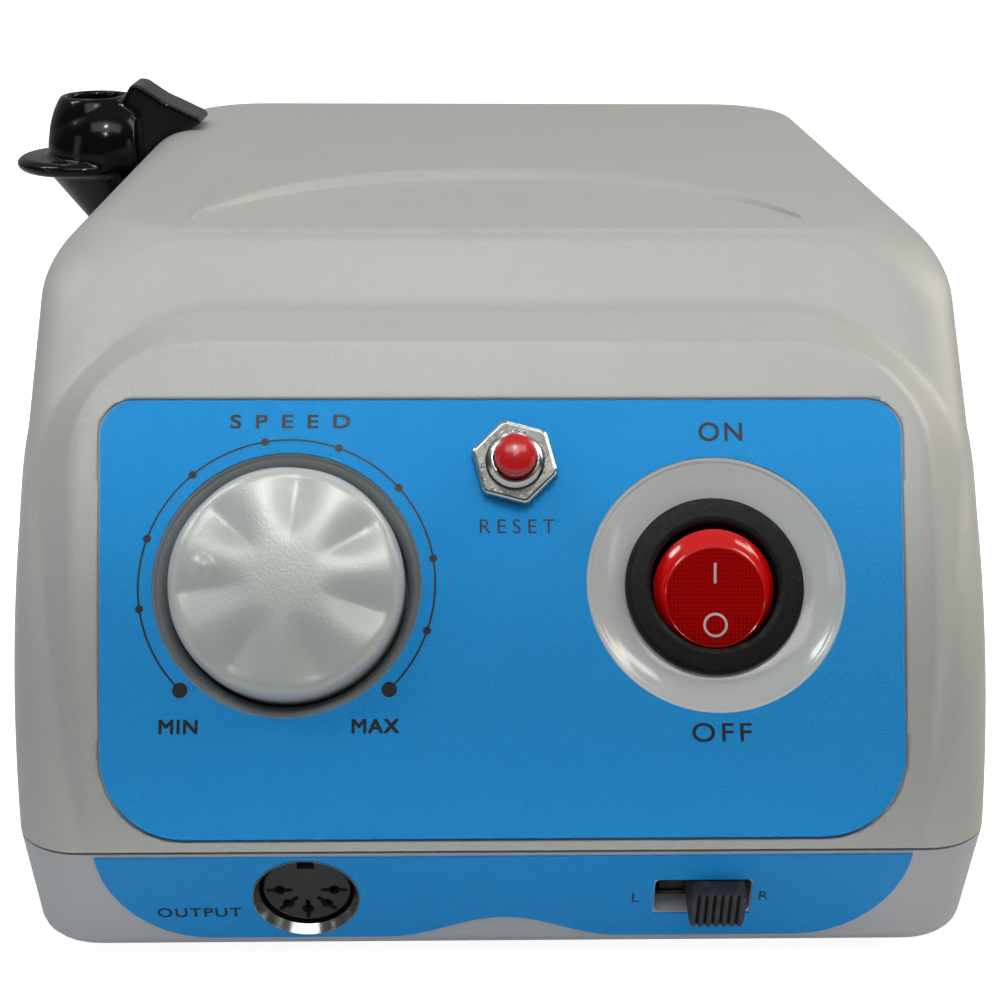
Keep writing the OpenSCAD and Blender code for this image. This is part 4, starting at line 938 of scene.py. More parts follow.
@dataclass
class OverloadButton:
    """The push button with its threaded bush and chamfered nut."""

    u: float = 1.6
    v: float = 50.2
    radius: float = 2.7
    rise: float = 7.2
    bush_radius: float = 3.6
    bush_top: float = 3.85
    bush_low: float = -3.5
    thread: float = 0.6
    nut_flats: float = 10.3
    nut_low: float = 0.29
    nut_top: float = 2.35
    nut_turn: float = 15.0
    stem_low: float = -8.5

    def _button(self) -> Mesh:
        """Gives the domed button on its stem."""
        r, top = self.radius, self.rise
        profile = [(0, self.stem_low), (r - 0.4, self.stem_low), (r - 0.4, 1.4), (r - 0.1, 1.4), (r, 1.5)]
        profile += arc((r - 0.55, top - 1.05), 0.55, 0.0, 62.0, 8)
        reach = r - 0.3
        profile += [(reach * (1 - i / 10), top - 0.55 * (1 - i / 10) ** 2) for i in range(1, 11)]
        return lathe(profile, 72)

    def _bush(self) -> Mesh:
        """Gives the bush with its thread ridges."""
        r, bore = self.bush_radius, self.radius + 0.15
        profile = [(self.radius - 0.35, self.bush_low), (r - 0.3, self.bush_low)]
        z = self.bush_low + 0.2
        while z + self.thread < self.bush_top - 0.35:
            profile += [(r - 0.3, z), (r, z + self.thread * 0.4), (r, z + self.thread * 0.6)]
            z += self.thread
        top = self.bush_top
        profile += [(r - 0.3, z), (r - 0.02, z + 0.12), (r - 0.02, top - 0.4), (r - 0.35, top - 0.05)]
        profile += [(r - 0.45, top), (bore + 0.12, top), (bore, top - 0.12)]
        profile += [(bore, -1.1), (self.radius - 0.35, -1.1)]
        return lathe(profile, 72, ring=True)

    def _nut(self) -> Mesh:
        """Gives the six-sided nut with chamfered corners and rounded edges."""
        flat = self.nut_flats / 2
        steps = 180
        bore = self.bush_radius + 0.02

        def side(angle: float, inset: float) -> float:
            """Gives the reach of the six-sided outline at an angle."""
            turn = (angle + math.pi / 6) % (math.pi / 3) - math.pi / 6
            sharp = (flat - inset) / math.cos(turn)
            return min(sharp, (flat - inset) * 1.125)

        top = self.nut_top
        rings = [turn_ring(lambda a: bore, lambda a: self.nut_low, steps)]
        rings.append(turn_ring(lambda a: bore, lambda a: top - 0.3, steps))
        rings.append(turn_ring(lambda a: bore + 0.3, lambda a: top - 0.05, steps))
        for inset, drop in ((0.62, 0.0), (0.5, 0.0), (0.3, 0.06), (0.12, 0.2), (0.02, 0.42), (0.0, 0.6)):
            rings.append(turn_ring(lambda a: side(a, inset), lambda a: top - drop, steps))
        rings.append(turn_ring(lambda a: side(a, 0.0), lambda a: self.nut_low + 0.15, steps))
        rings.append(turn_ring(lambda a: side(a, 0.12), lambda a: self.nut_low, steps))
        rings.append(rings[0])
        bm = loft(rings)
        # The rim faces take the bright chrome and the face takes the darker steel, one metal shown lit and
        # shaded: a painted highlight along the nut's edges.
        for face in bm.faces:
            far = face.calc_center_median()
            edge = side(math.atan2(far.y, far.x), 0.5)
            face.material_index = 1 if far.xy.length > edge and far.z > top - 0.5 else 0
        return bm

    def build(self) -> None:
        """Builds the button on its own body, and the bush and nut on the case."""
        place = Plane.PANEL.frame(self.u, self.v)
        red = [BUTTON_RED]
        settle("push_button", self._button(), red, "button", "button_red", ["overload_button"], place)
        settle("button_bush", self._bush(), [CHROME], "case", "chrome", ["overload_bush"], place, 30.0)
        place = Plane.PANEL.frame(self.u, self.v, 0.0, self.nut_turn)
        steel = [NUT_STEEL, CHROME]
        settle("button_nut", self._nut(), steel, "case", "chrome", ["overload_nut"], place, 20.0)


@dataclass
class MotorSocket:
    """The round socket for the motor lead, low on the front."""

    u: float = -25.4
    v: float = -7.9
    insert_radius: float = 5.6
    base_radius: float = 6.28
    insert_top: float = -1.1
    base_top: float = -8.0
    depth: float = 11.0
    circle: float = 3.5
    slot_length: float = 3.5
    slot_width: float = 0.62
    slot_bulge: float = 0.82
    bore_radius: float = 6.3
    mouth_inner: float = 6.1
    mouth_outer: float = 6.75
    mouth_depth: float = 0.85
    key_half: float = 1.1
    key_reach: Pair = (3.9, 6.0)
    key_depth: float = 7.0
    angles: tuple[float, ...] = (180.0, 225.0, 270.0, 315.0, 360.0)

    def _slots(self) -> Mesh:
        """Gives the cutters of the contact slots and the key."""
        cutters = []
        half = self.slot_length / 2
        outline = arc((half - 0.3, 0), self.slot_width / 2, -90, 90, 6) + [(0.62, self.slot_width / 2)]
        outline += arc((0, 0), self.slot_bulge, 40, 140, 8) + [(-0.62, self.slot_width / 2)]
        outline += arc((-half + 0.3, 0), self.slot_width / 2, 90, 270, 6) + [(-0.62, -self.slot_width / 2)]
        outline += arc((0, 0), self.slot_bulge, 220, 320, 8) + [(0.62, -self.slot_width / 2)]
        for angle in self.angles:
            place = Matrix.Rotation(math.radians(angle), 4, "Z") @ Matrix.Translation((self.circle, 0, 0))
            cutters.append(shift(slab(outline, -self.depth + 1.5, 1.0), place))
        x, (low, high) = self.key_half, self.key_reach
        key = slab([(-x, low), (x, low), (x, high), (-x, high)], -self.key_depth, 1.0)
        return gather(key, *cutters)

    def build(self, nodes: Nodes) -> None:
        """Builds the plated shell and the slotted insert.

        Args:
            nodes: The model's nodes by name.
        """
        r, top = self.insert_radius, self.insert_top
        profile = [(0, -self.depth), (self.base_radius, -self.depth)]
        profile += [(self.base_radius, self.base_top), (r, self.base_top)]
        profile += [(r, top - 0.3)] + arc((r - 0.3, top - 0.3), 0.3, 10, 90, 4) + [(0, top)]
        insert = carve(lathe(profile, 96), self._slots())
        settle(
            "socket_insert", insert, [INSERT_BLACK], "case", "insert_black", ["motor_socket_insert"],
            Plane.CHIN.frame(self.u, self.v), 30.0,
        )
        place = Plane.CHIN.frame(self.u, self.v)
        shell = shift(model_copy(nodes["motor_socket_shell"]), place.inverted())
        everything = shell.verts[:] + shell.edges[:] + shell.faces[:]
        bmesh.ops.bisect_plane(shell, geom=everything, plane_co=(0, 0, -self.mouth_depth), plane_no=(0, 0, 1))
        for vert in shell.verts:
            if vert.co.z > -self.mouth_depth - 0.01 and vert.co.xy.length < self.bore_radius + 0.1:
                reach = (self.mouth_outer if vert.co.z > 0.2 else self.mouth_inner) / self.bore_radius
                vert.co.xy = (vert.co.x * reach, vert.co.y * reach)
        settle("socket_shell", shell, [CHROME], "case", "chrome", ["motor_socket_shell"], place, 30.0)


@dataclass
class DirectionSwitch:
    """The ribbed slider that picks the turning direction."""

    u: float = 27.5
    v: float = -8.1
    length: float = 8.0
    height: float = 5.5
    rise: float = 3.0
    low: float = -4.6
    ribs: int = 7
    rib_depth: float = 0.62
    taper: float = 0.12
    lean: float = 0.35
    flange: float = 3.0
    flange_height: float = 3.6
    flange_span: Pair = (-6.0, -4.2)
    rib_steps: int = 8
    corner: float = 1.1

    def _corners(self) -> Mesh:
        """Gives the cutters that round the slider's upright corners."""
        cutters = []
        along = self.length / 2
        up = self.height / 2
        for turn in (0, 90, 180, 270):
            half, side = (along, up) if turn % 180 == 0 else (up, along)
            outline = arc((half - self.corner, side - self.corner), self.corner, 0, 90, 6)
            near, far = half - self.corner, half + 1.0
            outline += [(near, side + 1.0), (far, side + 1.0), (far, side - self.corner)]
            spandrel = slab(outline, self.low - 1.0, self.rise + 1.0)
            cutters.append(shift(spandrel, Matrix.Rotation(math.radians(turn), 4, "Z")))
        return gather(*cutters)

    def build(self) -> None:
        """Builds the slider on its own body."""
        half = self.length / 2
        pitch = self.length / self.ribs
        outline: list[Pair] = [(-half, self.low), (half, self.low)]
        count = self.ribs * self.rib_steps
        for i in range(count + 1):
            x = half - self.length * i / count
            phase = ((half - x) % pitch) / pitch
            crest = math.sin(math.pi * min(max(phase, 0.0), 1.0))
            outline.append((x, self.rise - self.rib_depth * (1.0 - crest ** 0.6)))
        block = slab(outline, -self.height / 2, self.height / 2)
        ends = [e for e in block.edges if abs(e.verts[0].co.z - e.verts[1].co.z) < 1e-4]
        tops = [e for e in ends if min(v.co.y for v in e.verts) > self.rise - self.rib_depth - 0.01]
        bmesh.ops.bevel(
            block, geom=tops, offset=0.3, offset_type="OFFSET", affect="EDGES",
            segments=3, profile=0.5, material=-1, clamp_overlap=True,
        )
        stand = Matrix(((1, 0, 0, 0), (0, 0, -1, 0), (0, 1, 0, 0), (0, 0, 0, 1)))
        block = carve(shift(block, stand), self._corners())
        for vert in block.verts:
            out = smoothstep(0.0, self.rise, vert.co.z)
            vert.co.x = vert.co.x * (1.0 - self.taper * out) - self.lean * out
        reach, up = half + self.flange, self.flange_height
        foot = slab([(-reach, -up), (reach, -up), (reach, up), (-reach, up)], *self.flange_span)
        settle(
            "slider_ribbed", close_up(gather(block, foot)), [SLIDER_BLACK], "slider", "slider_black",
            ["direction_slider"], Plane.CHIN.frame(self.u, self.v), 30.0,
        )


@dataclass
class Case:
    """The upper housing with its raised panel, the tray, the labels and the print."""

    half_width: float = 66.0
    front: float = -95.0
    rear: float = 95.0
    seam: float = 19.5
    seam_gap: float = 0.15
    top: float = 86.8
    seam_tuck: float = 3.5
    side_draft: float = 1.0
    shoulder: float = 9.5
    rear_round: float = 10.0
    corner: float = 9.0
    rear_corner: float = 12.0
    front_angle: float = 50.0
    brow: float = 4.0
    panel_length: float = 68.0
    pad_corner: float = 16.0
    pad_draft: float = 38.0
    pad_edge: float = 2.0
    pad_half: tuple[float, float, float] = (52.5, 0.2, -0.00218)
    wall: float = 2.5
    label: float = 0.25
    crown_half: float = 45.0
    crown_height: float = 1.4
    crown_tilt: float = 0.85
    crown_pivot: float = 1.0
    crown_end: float = 83.0
    crown_grid: tuple[int, int] = (160, 26)
    scoop_radius: float = 46.5
    scoop_middle: float = -44.8
    vent_pitch: float = 6.0
    vents: int = 9
    vent_size: Pair = (2.5, 22.0)
    vent_middle: float = 61.5
    front_steps: int = 150
    corner_steps: int = 20
    side_steps: int = 60
    rear_steps: int = 24
    rear_holes: tuple[tuple[float, float], ...] = ((-16.0, 6.02), (36.0, 4.57), (-41.5, 6.02))
    rear_height: float = 34.0
    bed_gap: float = 0.3
    bed_depth: float = 0.35
    film_half: float = 0.12
    captions: tuple[tuple[str, Plane, float, float, float, float, float, float], ...] = (
        ("SPEED", Plane.PANEL, -28.1, 56.0, 1.8, 2.0, 1.3, 0.12),
        ("MIN", Plane.PANEL, -41.6, 15.7, 1.75, 1.1, 1.08, 0.14),
        ("MAX", Plane.PANEL, -16.6, 15.7, 1.75, 1.1, 1.08, 0.14),
        ("ON", Plane.PANEL, 29.0, 54.5, 2.5, 1.2, 1.0, 0.08),
        ("OFF", Plane.PANEL, 27.8, 14.7, 2.35, 1.25, 1.15, 0.05),
        ("RESET", Plane.PANEL, 1.8, 41.8, 1.9, 1.5, 1.0, 0.0),
        ("OUTPUT", Plane.CHIN, -39.3, -10.6, 1.6, 1.15, 1.08, 0.06),
        ("L", Plane.CHIN, 16.8, -8.3, 1.6, 1.0, 1.0, 0.0),
        ("R", Plane.CHIN, 33.3, -8.1, 1.6, 1.0, 1.0, 0.0),
    )

    def _side(self, z: float) -> float:
        """Gives the half width of the housing at a height."""
        belly = self.seam + 0.5 * (self.top - self.seam)
        if z < belly:
            return self.half_width - self.seam_tuck * ((belly - z) / (belly - self.seam)) ** 2
        return self.half_width - (z - belly) * math.tan(math.radians(self.side_draft))

    def _front_line(self, z: float, k: float) -> float:
        """Gives the front of the housing, set in by k, at a height."""
        lean = math.radians(self.front_angle)
        top = self.top - k
        r = self.brow - 0.8 * k
        run = r * math.tan(lean / 2)
        start = self.front + k / math.sin(lean)
        if z <= top - run * math.sin(lean):
            return start + (z - self.seam) / math.tan(lean)
        crease = start + (top - self.seam) / math.tan(lean)
        return crease + run - r * math.sin(math.acos(min(max(1 - (top - z) / r, -1.0), 1.0)))

    @staticmethod
    def _rounding(z: float, start: float, r: float) -> float:
        """Gives how far a rounding that starts at a height has pulled in."""
        return r - math.sqrt(max(r * r - (z - start) ** 2, 0.0)) if z > start else 0.0

    def _ring(self, z: float, k: float) -> list[Vector]:
        """Gives the outline of the housing, set in by k, at a height."""
        lift = max(0.0, (z - (self.top - k - self.rear_round)) / self.rear_round)
        yf = self._front_line(z, k)
        yr = self.rear - k - self._rounding(z, self.top - self.rear_round, self.rear_round - k)
        hx = self._side(z) - k - self._rounding(z, self.top - self.shoulder, self.shoulder - k)
        rf, rr = self.corner - k + 7 * lift * lift, self.rear_corner - k
        front, right = (hx - rf, yf + rf), (hx - rr, yr - rr)
        half: list[Pair] = []
        count = self.front_steps // 2
        half += [((hx - rf) * i / count, yf) for i in range(count)]
        half += arc(front, rf, -90.0, 0.0, self.corner_steps)[:-1]
        count = self.side_steps
        half += [(hx, yf + rf + (yr - rr - yf - rf) * i / count) for i in range(count)]
        half += arc(right, rr, 0.0, 90.0, self.corner_steps // 2)[:-1]
        count = self.rear_steps // 2
        half += [((hx - rr) * (1 - i / count), yr) for i in range(count + 1)]
        mirrored = [(-x, y) for x, y in reversed(half[1:-1])]
        return [Vector((x, y, z)) for x, y in half + mirrored]

    def _pad_height(self, u: float, v: float) -> float:
        """Gives the height of the raised panel's skin at a place, below zero outside its soft edge."""
        base, slope, curve = self.pad_half
        s = min(max(v, 0.0), self.panel_length)
        side = abs(u) - (base + slope * s + curve * s * s)
        r = self.pad_corner
        q = (side + r, v - self.panel_length + r)
        far = math.hypot(max(q[0], 0.0), max(q[1], 0.0)) + min(max(q), 0.0) - r
        turn = math.radians(90.0 - self.pad_draft)
        soft = self.pad_edge * math.tan(turn / 2)
        if far <= -soft:
            return 0.0
        if far < self.pad_edge * math.sin(turn) - soft:
            return math.sqrt(self.pad_edge ** 2 - (far + soft) ** 2) - self.pad_edge
        wall_top = self.pad_edge * (math.cos(turn) - 1.0)
        return wall_top - (far - self.pad_edge * math.sin(turn) + soft) * math.tan(turn)

    def _raise(self, point: Vector, k: float) -> Vector:
        """Lifts a point of the housing's skin onto the raised panel where the panel stands proud.

        Args:
            point: A point on the leaning front.
            k: How far the skin is set in.

        Returns:
            The point, lifted along the panel's normal.
        """
        lean = math.radians(Plane.PANEL.value)
        away = point - SEAM
        v = away.y * math.cos(lean) + away.z * math.sin(lean)
        n = -away.y * math.sin(lean) + away.z * math.cos(lean)
        if n > 1.0 or n < -16.0:
            return point
        pad = self._pad_height(point.x * (1 + k / 54.0), v + k) - k
        fillet = 0.5
        near = max(fillet - abs(pad - n), 0.0) / fillet
        lifted = max(pad, n) + near * near * fillet / 4
        if lifted <= n:
            return point
        return point + Vector((0.0, -math.sin(lean), math.cos(lean))) * (lifted - n)

    def _face(self, ring: list[Vector], k: float) -> list[Vector]:
        """Lifts the front and the front corners of a ring onto the raised panel.

        Args:
            ring: An outline of the housing, from the middle of its front.
            k: How far the skin is set in.

        Returns:
            The ring, with its sides and rear as they were.
        """
        reach = self.front_steps // 2 + self.corner_steps
        return [self._raise(p, k) if min(i, len(ring) - i) <= reach else p for i, p in enumerate(ring)]

    def _skin(self, k: float, low: float, high: float) -> list[list[Vector]]:
        """Gives the rings of one skin of the housing, from the seam to the middle of the roof.

        Args:
            k: How far the skin is set in.
            low: Spacing of the rings on the panel.
            high: Number of rings round the roof's edge.

        Returns:
            Rings from the bottom up.
        """
        start = self.seam + self.seam_gap
        bend = self.top - self.rear_round
        count = int((bend - start) / low)
        heights = [start + (bend - start) * i / count for i in range(count)]
        r = self.rear_round - k
        heights += [bend + r * math.sin(math.radians(90 * i / high)) for i in range(int(high) + 1)]
        rings = [self._face(self._ring(z, k), k) for z in heights]
        last = rings[-1]
        half = max(p.x for p in last)
        ends = (min(p.y for p in last) + half, max(p.y for p in last) - half)
        aims = [min(max(p.y, ends[0]), ends[1]) for p in last]
        for t in (0.3, 0.65, 1.0):
            rings.append([Vector((p.x * (1 - t), p.y + (y - p.y) * t, p.z)) for p, y in zip(last, aims)])
        return rings

    def _crown(self) -> Mesh:
        """Gives the crowned rest on the roof with its scooped front edge."""
        columns, rows = self.crown_grid
        sunk = self.top - 0.4
        fall = math.tan(math.radians(self.crown_tilt))

        def height(x: float, y: float) -> float:
            """Gives the crown's top at a place."""
            rise = self.crown_height * (1 - (x / self.crown_half) ** 4) - (y - self.crown_pivot) * fall
            return max(self.top + rise, sunk + 0.02)

        lines: list[list[Vector]] = []
        lean = 0.9
        edge = ((0.0, 1.0), (0.45, 0.62), (0.85, 0.22), (1.05, 0.06), (1.4, 0.0))
        for i in range(columns + 1):
            x = self.crown_half * (2 * i / columns - 1)
            start = self.scoop_middle + math.sqrt(self.scoop_radius ** 2 - x * x)
            high = height(x, start)
            foot = start - lean * (high - sunk)
            line = []
            for run, drop in edge:
                y = foot + lean * (high - sunk) * run
                line.append(Vector((x, y, sunk + (high - sunk) * (1.0 - drop))))
            first = line[-1].y
            for j in range(1, rows + 1):
                y = first + (self.crown_end - first) * j / rows
                line.append(Vector((x, y, height(x, y))))
            line.append(Vector((x, self.crown_end, sunk)))
            if i in (0, columns):
                line = [Vector((p.x, p.y, sunk)) for p in line]
            lines.append(line)
        bm = loft(lines, closed=False)
        rim = [e for e in bm.edges if e.is_boundary]
        bmesh.ops.holes_fill(bm, edges=rim, sides=0)
        return close_up(bm)

    def _rear_cutters(self) -> list[Mesh]:
        """Gives the cutters of the rear vents and fittings."""
        out = Matrix.Translation((0, self.rear, 0)) @ Matrix.Rotation(math.radians(90), 4, "X")
        cutters = []
        width, tall = self.vent_size
        r = width / 2
        outline = arc((0, tall / 2 - r), r, 0, 180, 10) + arc((0, r - tall / 2), r, 180, 360, 10)
        for i in range(self.vents):
            x = (i - (self.vents - 1) / 2) * self.vent_pitch
            cutters.append(shift(slab(outline, -3, 8), out @ Matrix.Translation((x, self.vent_middle, 0))))
        for x, r in self.rear_holes:
            cutters.append(shift(rod(r, -3, 8, 64), out @ Matrix.Translation((x, self.rear_height, 0))))
        return cutters

    def _bed(self, label: bpy.types.Object) -> Mesh:
        """Gives the cutter of the shallow bed that the printed film lies in.

        Args:
            label: The model's label.

        Returns:
            The cutter in the case's frame.
        """
        place = Plane.PANEL.frame(0.0, 0.0)
        bed = shift(model_copy(label), place.inverted())
        for axis in (0, 1):
            reach = [v.co[axis] for v in bed.verts]
            middle = (min(reach) + max(reach)) / 2
            grow = 1.0 + 2 * self.bed_gap / (max(reach) - min(reach))
            for vert in bed.verts:
                vert.co[axis] = middle + (vert.co[axis] - middle) * grow
        for vert in bed.verts:
            vert.co.z = 1.0 if vert.co.z > self.film_half else -self.bed_depth
        return shift(bed, place)

    def hood(self, nodes: Nodes, speed: SpeedControl, power: PowerSwitch, button: OverloadButton) -> None:
        """Builds the upper housing with its pocket, dish, vents and crowned roof.

        Args:
            nodes: The model's nodes by name.
            speed: The speed control, which gives its pocket.
            power: The power switch, which gives its dish.
            button: The push button, which gives its hole.
        """
        inner = self._skin(self.wall, 2.2, 6)
        outer = self._skin(0.0, 0.62, 16)
        shell = loft(list(reversed(inner)) + outer)
        hole = rod(button.bush_radius + 0.05, -6, 3, 48)
        shift(hole, Plane.PANEL.frame(button.u, button.v))
        cutters = gather(speed.opening(), power.opening(), hole, *self._rear_cutters())
        shell = tint(carve(carve(shell, cutters), self._bed(nodes["front_label"])), 0)
        # The pocket's darker grey finish is painted shade in the recess.
        pocket, dish = tint(speed.pocket(), 2), tint(power.dish(), 1)
        whole = gather(shell, pocket, dish, tint(self._crown(), 0))
        finishes = [CASE_PEARL, DISH_GLOSS, POCKET_PAINTED_SHADE]
        settle("housing", whole, finishes, "case", "case_grey", ["upper_housing"], crease=32.0)

    def tray(self, nodes: Nodes) -> None:
        """Builds the tray and the two printed films from the model's own solids.

        Args:
            nodes: The model's nodes by name.
        """
        settle("tray", model_copy(nodes["lower_tray"]), [TRAY_PEARL], "case", "tray_grey", ["lower_tray"])
        for name in ("front_label", "lower_label"):
            film = model_copy(nodes[name])
            if name == "front_label":
                place = Plane.PANEL.frame(0.0, 0.0)
                shift(film, place.inverted())
                for vert in film.verts:
                    vert.co.z = vert.co.z if vert.co.z > self.film_half else -self.bed_depth
                shift(film, place)
            settle(name + "_film", film, [FILM_BLUE], "case", "label_blue", [name])

    @staticmethod
    def _lettering(words: str, size: float, spacing: float, stretch: float, weight: float) -> Mesh:
        """Gives a line of print as a thin mesh, centred on its own place.

        Args:
            words: What it says.
            size: Height of the capitals.
            spacing: Spacing of the letters.
            stretch: How much wider than the plain letter it is.
            weight: How much fatter than the plain letter its strokes are.

        Returns:
            The letters in the xy plane.
        """
        curve = bpy.data.curves.new("print", "FONT")
        curve.body = words
        curve.size = size / 0.69
        curve.space_character = spacing
        curve.align_x = "CENTER"
        curve.align_y = "CENTER"
        curve.extrude = 0.01
        carrier = bpy.data.objects.new("print", curve)
        bpy.context.scene.collection.objects.link(carrier)
        bm = applied(carrier)
        bmesh.ops.remove_doubles(bm, verts=bm.verts, dist=0.0005)
        bmesh.ops.scale(bm, vec=(stretch, 1.0, 1.0), verts=bm.verts)
        strikes = [bm]
        if weight:
            for x, y in ((1.0, 0.0), (0.0, 1.0), (1.0, 1.0)):
                place = Matrix.Translation((weight * x, weight * y, 0.001 * (x + 2 * y)))
                strikes.append(shift(bm.copy(), place))
        return gather(*strikes)

    def print_marks(self, speed: SpeedControl) -> None:
        """Prints the scale and the captions on the films.

        Args:
            speed: The speed control, which gives its scale.
        """
        height = self.label + 0.012
        marks = [speed.scale(height)]
        for words, plane, u, v, size, spacing, stretch, weight in self.captions:
            letters = self._lettering(words, size, spacing, stretch, weight)
            marks.append(shift(letters, plane.frame(u, v, height + 0.01)))
        settle("panel_print", tint(gather(*marks), 0), [INK_BLACK], "case", "label_blue")


@dataclass
class HandpieceCup:
    """The cup at the left, with its dome, lip and arm run together like a moulding."""

    x: float = -74.5
    y: float = 55.0
    bore_radius: float = 5.2
    bore_floor: float = 74.6
    dome_x: float = -72.8
    dome_radius: float = 11.2
    dome_height: float = 11.2
    waist: float = 82.5
    case_side: float = -66.1
    hook: Pair = (-56.0, 77.3)
    hook_inner: float = 9.4
    hook_outer: float = 12.0
    arm_half: float = 5.5
    clear: float = 99.0
    grid: float = 0.42
    passes: int = 8

    def build(self, nodes: Nodes) -> None:
        """Builds the cup.

        Args:
            nodes: The model's nodes by name.
        """
        r, low = self.dome_radius, self.waist
        profile = [(0.0, low - 4.5), (r - 2.4, low - 4.5), (r - 0.4, low - 2.0)]
        for i in range(16):
            a = math.radians(6 * i)
            profile.append((r * math.cos(a), low + self.dome_height * math.sin(a)))
        dome = shift(lathe(profile, 96), Matrix.Translation((self.dome_x, self.y, 0.0)))
        bore = rod(self.bore_radius, self.bore_floor, self.clear, 96)
        shift(bore, Matrix.Translation((self.x, self.y, 0.0)))
        side = self.case_side
        wall = slab([(side, 30), (side + 20, 30), (side + 20, 80), (side, 80)], 60.0, self.clear)
        dome = carve(carve(dome, bore), wall)
        outline = arc(self.hook, self.hook_inner, 100.0, 178.0, 24)
        outline += arc(self.hook, self.hook_outer, 178.0, 100.0, 24)
        web = slab(outline, -self.y - self.arm_half, -self.y + self.arm_half)
        shift(web, Matrix.Rotation(math.radians(90), 4, "X"))
        form = melt(gather(model_copy(nodes["handpiece_cup"]), dome, web), self.grid, self.passes)
        node = ["handpiece_cup"]
        settle("handpiece_cup_moulded", form, [CUP_BLACK], "case", "cup_black", node, crease=180.0)


@dataclass
class Fittings:
    """The pieces whose model shape is right, given rounded edges and their finishes."""

    rounded: tuple[tuple[str, Finish, str, str, float], ...] = (
        ("handpiece_cup_screws", SCREW_STEEL, "case", "screw_steel", 0.1),
        ("rubber_feet", RUBBER, "case", "foot_rubber", 0.35),
        ("housing_screws", SCREW_STEEL, "case", "screw_steel", 0.1),
        ("direction_switch_frame", CHROME, "case", "chrome", 0.1),
        ("fuse_holder", FITTING_BLACK, "case", "fitting_black", 0.25),
        ("fuse_cap", FITTING_BLACK, "fuse_cap", "fitting_black", 0.25),
        ("foot_jack", CHROME, "case", "chrome", 0.15),
        ("foot_jack_nut", CHROME, "case", "chrome", 0.2),
        ("mains_gland", FITTING_BLACK, "case", "fitting_black", 0.3),
    )
    inside: tuple[tuple[Finish, tuple[str, ...]], ...] = (
        (SCREW_STEEL, ("potentiometer_shaft", "potentiometer_nut", "motor_socket_screws")),
        (SCREW_STEEL, ("direction_switch_screws", "transformer_screws", "board_screws")),
        (BRASS, ("potentiometer_bush", "potentiometer_terminals", "power_switch_terminals")),
        (BRASS, ("overload_terminals", "motor_socket_contacts")),
        (CAN_STEEL, ("potentiometer_body", "transformer_bracket")),
        (SWITCH_BLACK, ("overload_body",)),
        (PHENOLIC, ("direction_switch_base",)),
        (LAMINATION, ("transformer_core",)),
        (WINDING_TAPE, ("transformer_winding",)),
        (BOARD_GREEN, ("circuit_board",)),
        (CAPACITOR_SLEEVE, ("filter_capacitors",)),
        (ANODISED, ("heat_sink",)),
        (EPOXY, ("power_transistor", "bridge_rectifier")),
        (RELAY_CASE, ("relay",)),
        (FITTING_BLACK, ("fuse_nut",)),
        (FUSE_GLASS, ("fuse_link",)),
    )

    def build(self, nodes: Nodes) -> None:
        """Rounds the visible fittings and dresses the nodes that stay.

        Args:
            nodes: The model's nodes by name.
        """
        for name, finish, body, slot, width in self.rounded:
            form = soften(model_copy(nodes[name]), width, 40.0, 2)
            settle(name + "_rounded", form, [finish], body, slot, [name], crease=48.0, weigh=True)
        for name, finish in ((name, finish) for finish, names in self.inside for name in names):
            mesh = nodes[name].data
            if not mesh.materials:
                mesh.materials.append(None)
            for i in range(len(mesh.materials)):
                mesh.materials[i] = finish.material()
            LOG.info("%s: dressed as %s", name, finish.name)


@dataclass(frozen=True)
class Softbox:
    """One soft light, with its size in metres and its power in watts."""

    name: str
    place: Spot
    aim: Spot
    size: Pair
    power: float
    colour: Colour = (1.0, 1.0, 1.0)


@dataclass(frozen=True)
class Beam:
    """A light with a soft edge.

    Its half angle is in degrees and its radius in metres, and its spread is its width over its height.
    """

    name: str
    place: Spot
    aim: Spot
    angle: float
    radius: float
    power: float
    spread: float
    blend: float
    colour: Colour = (1.0, 1.0, 1.0)


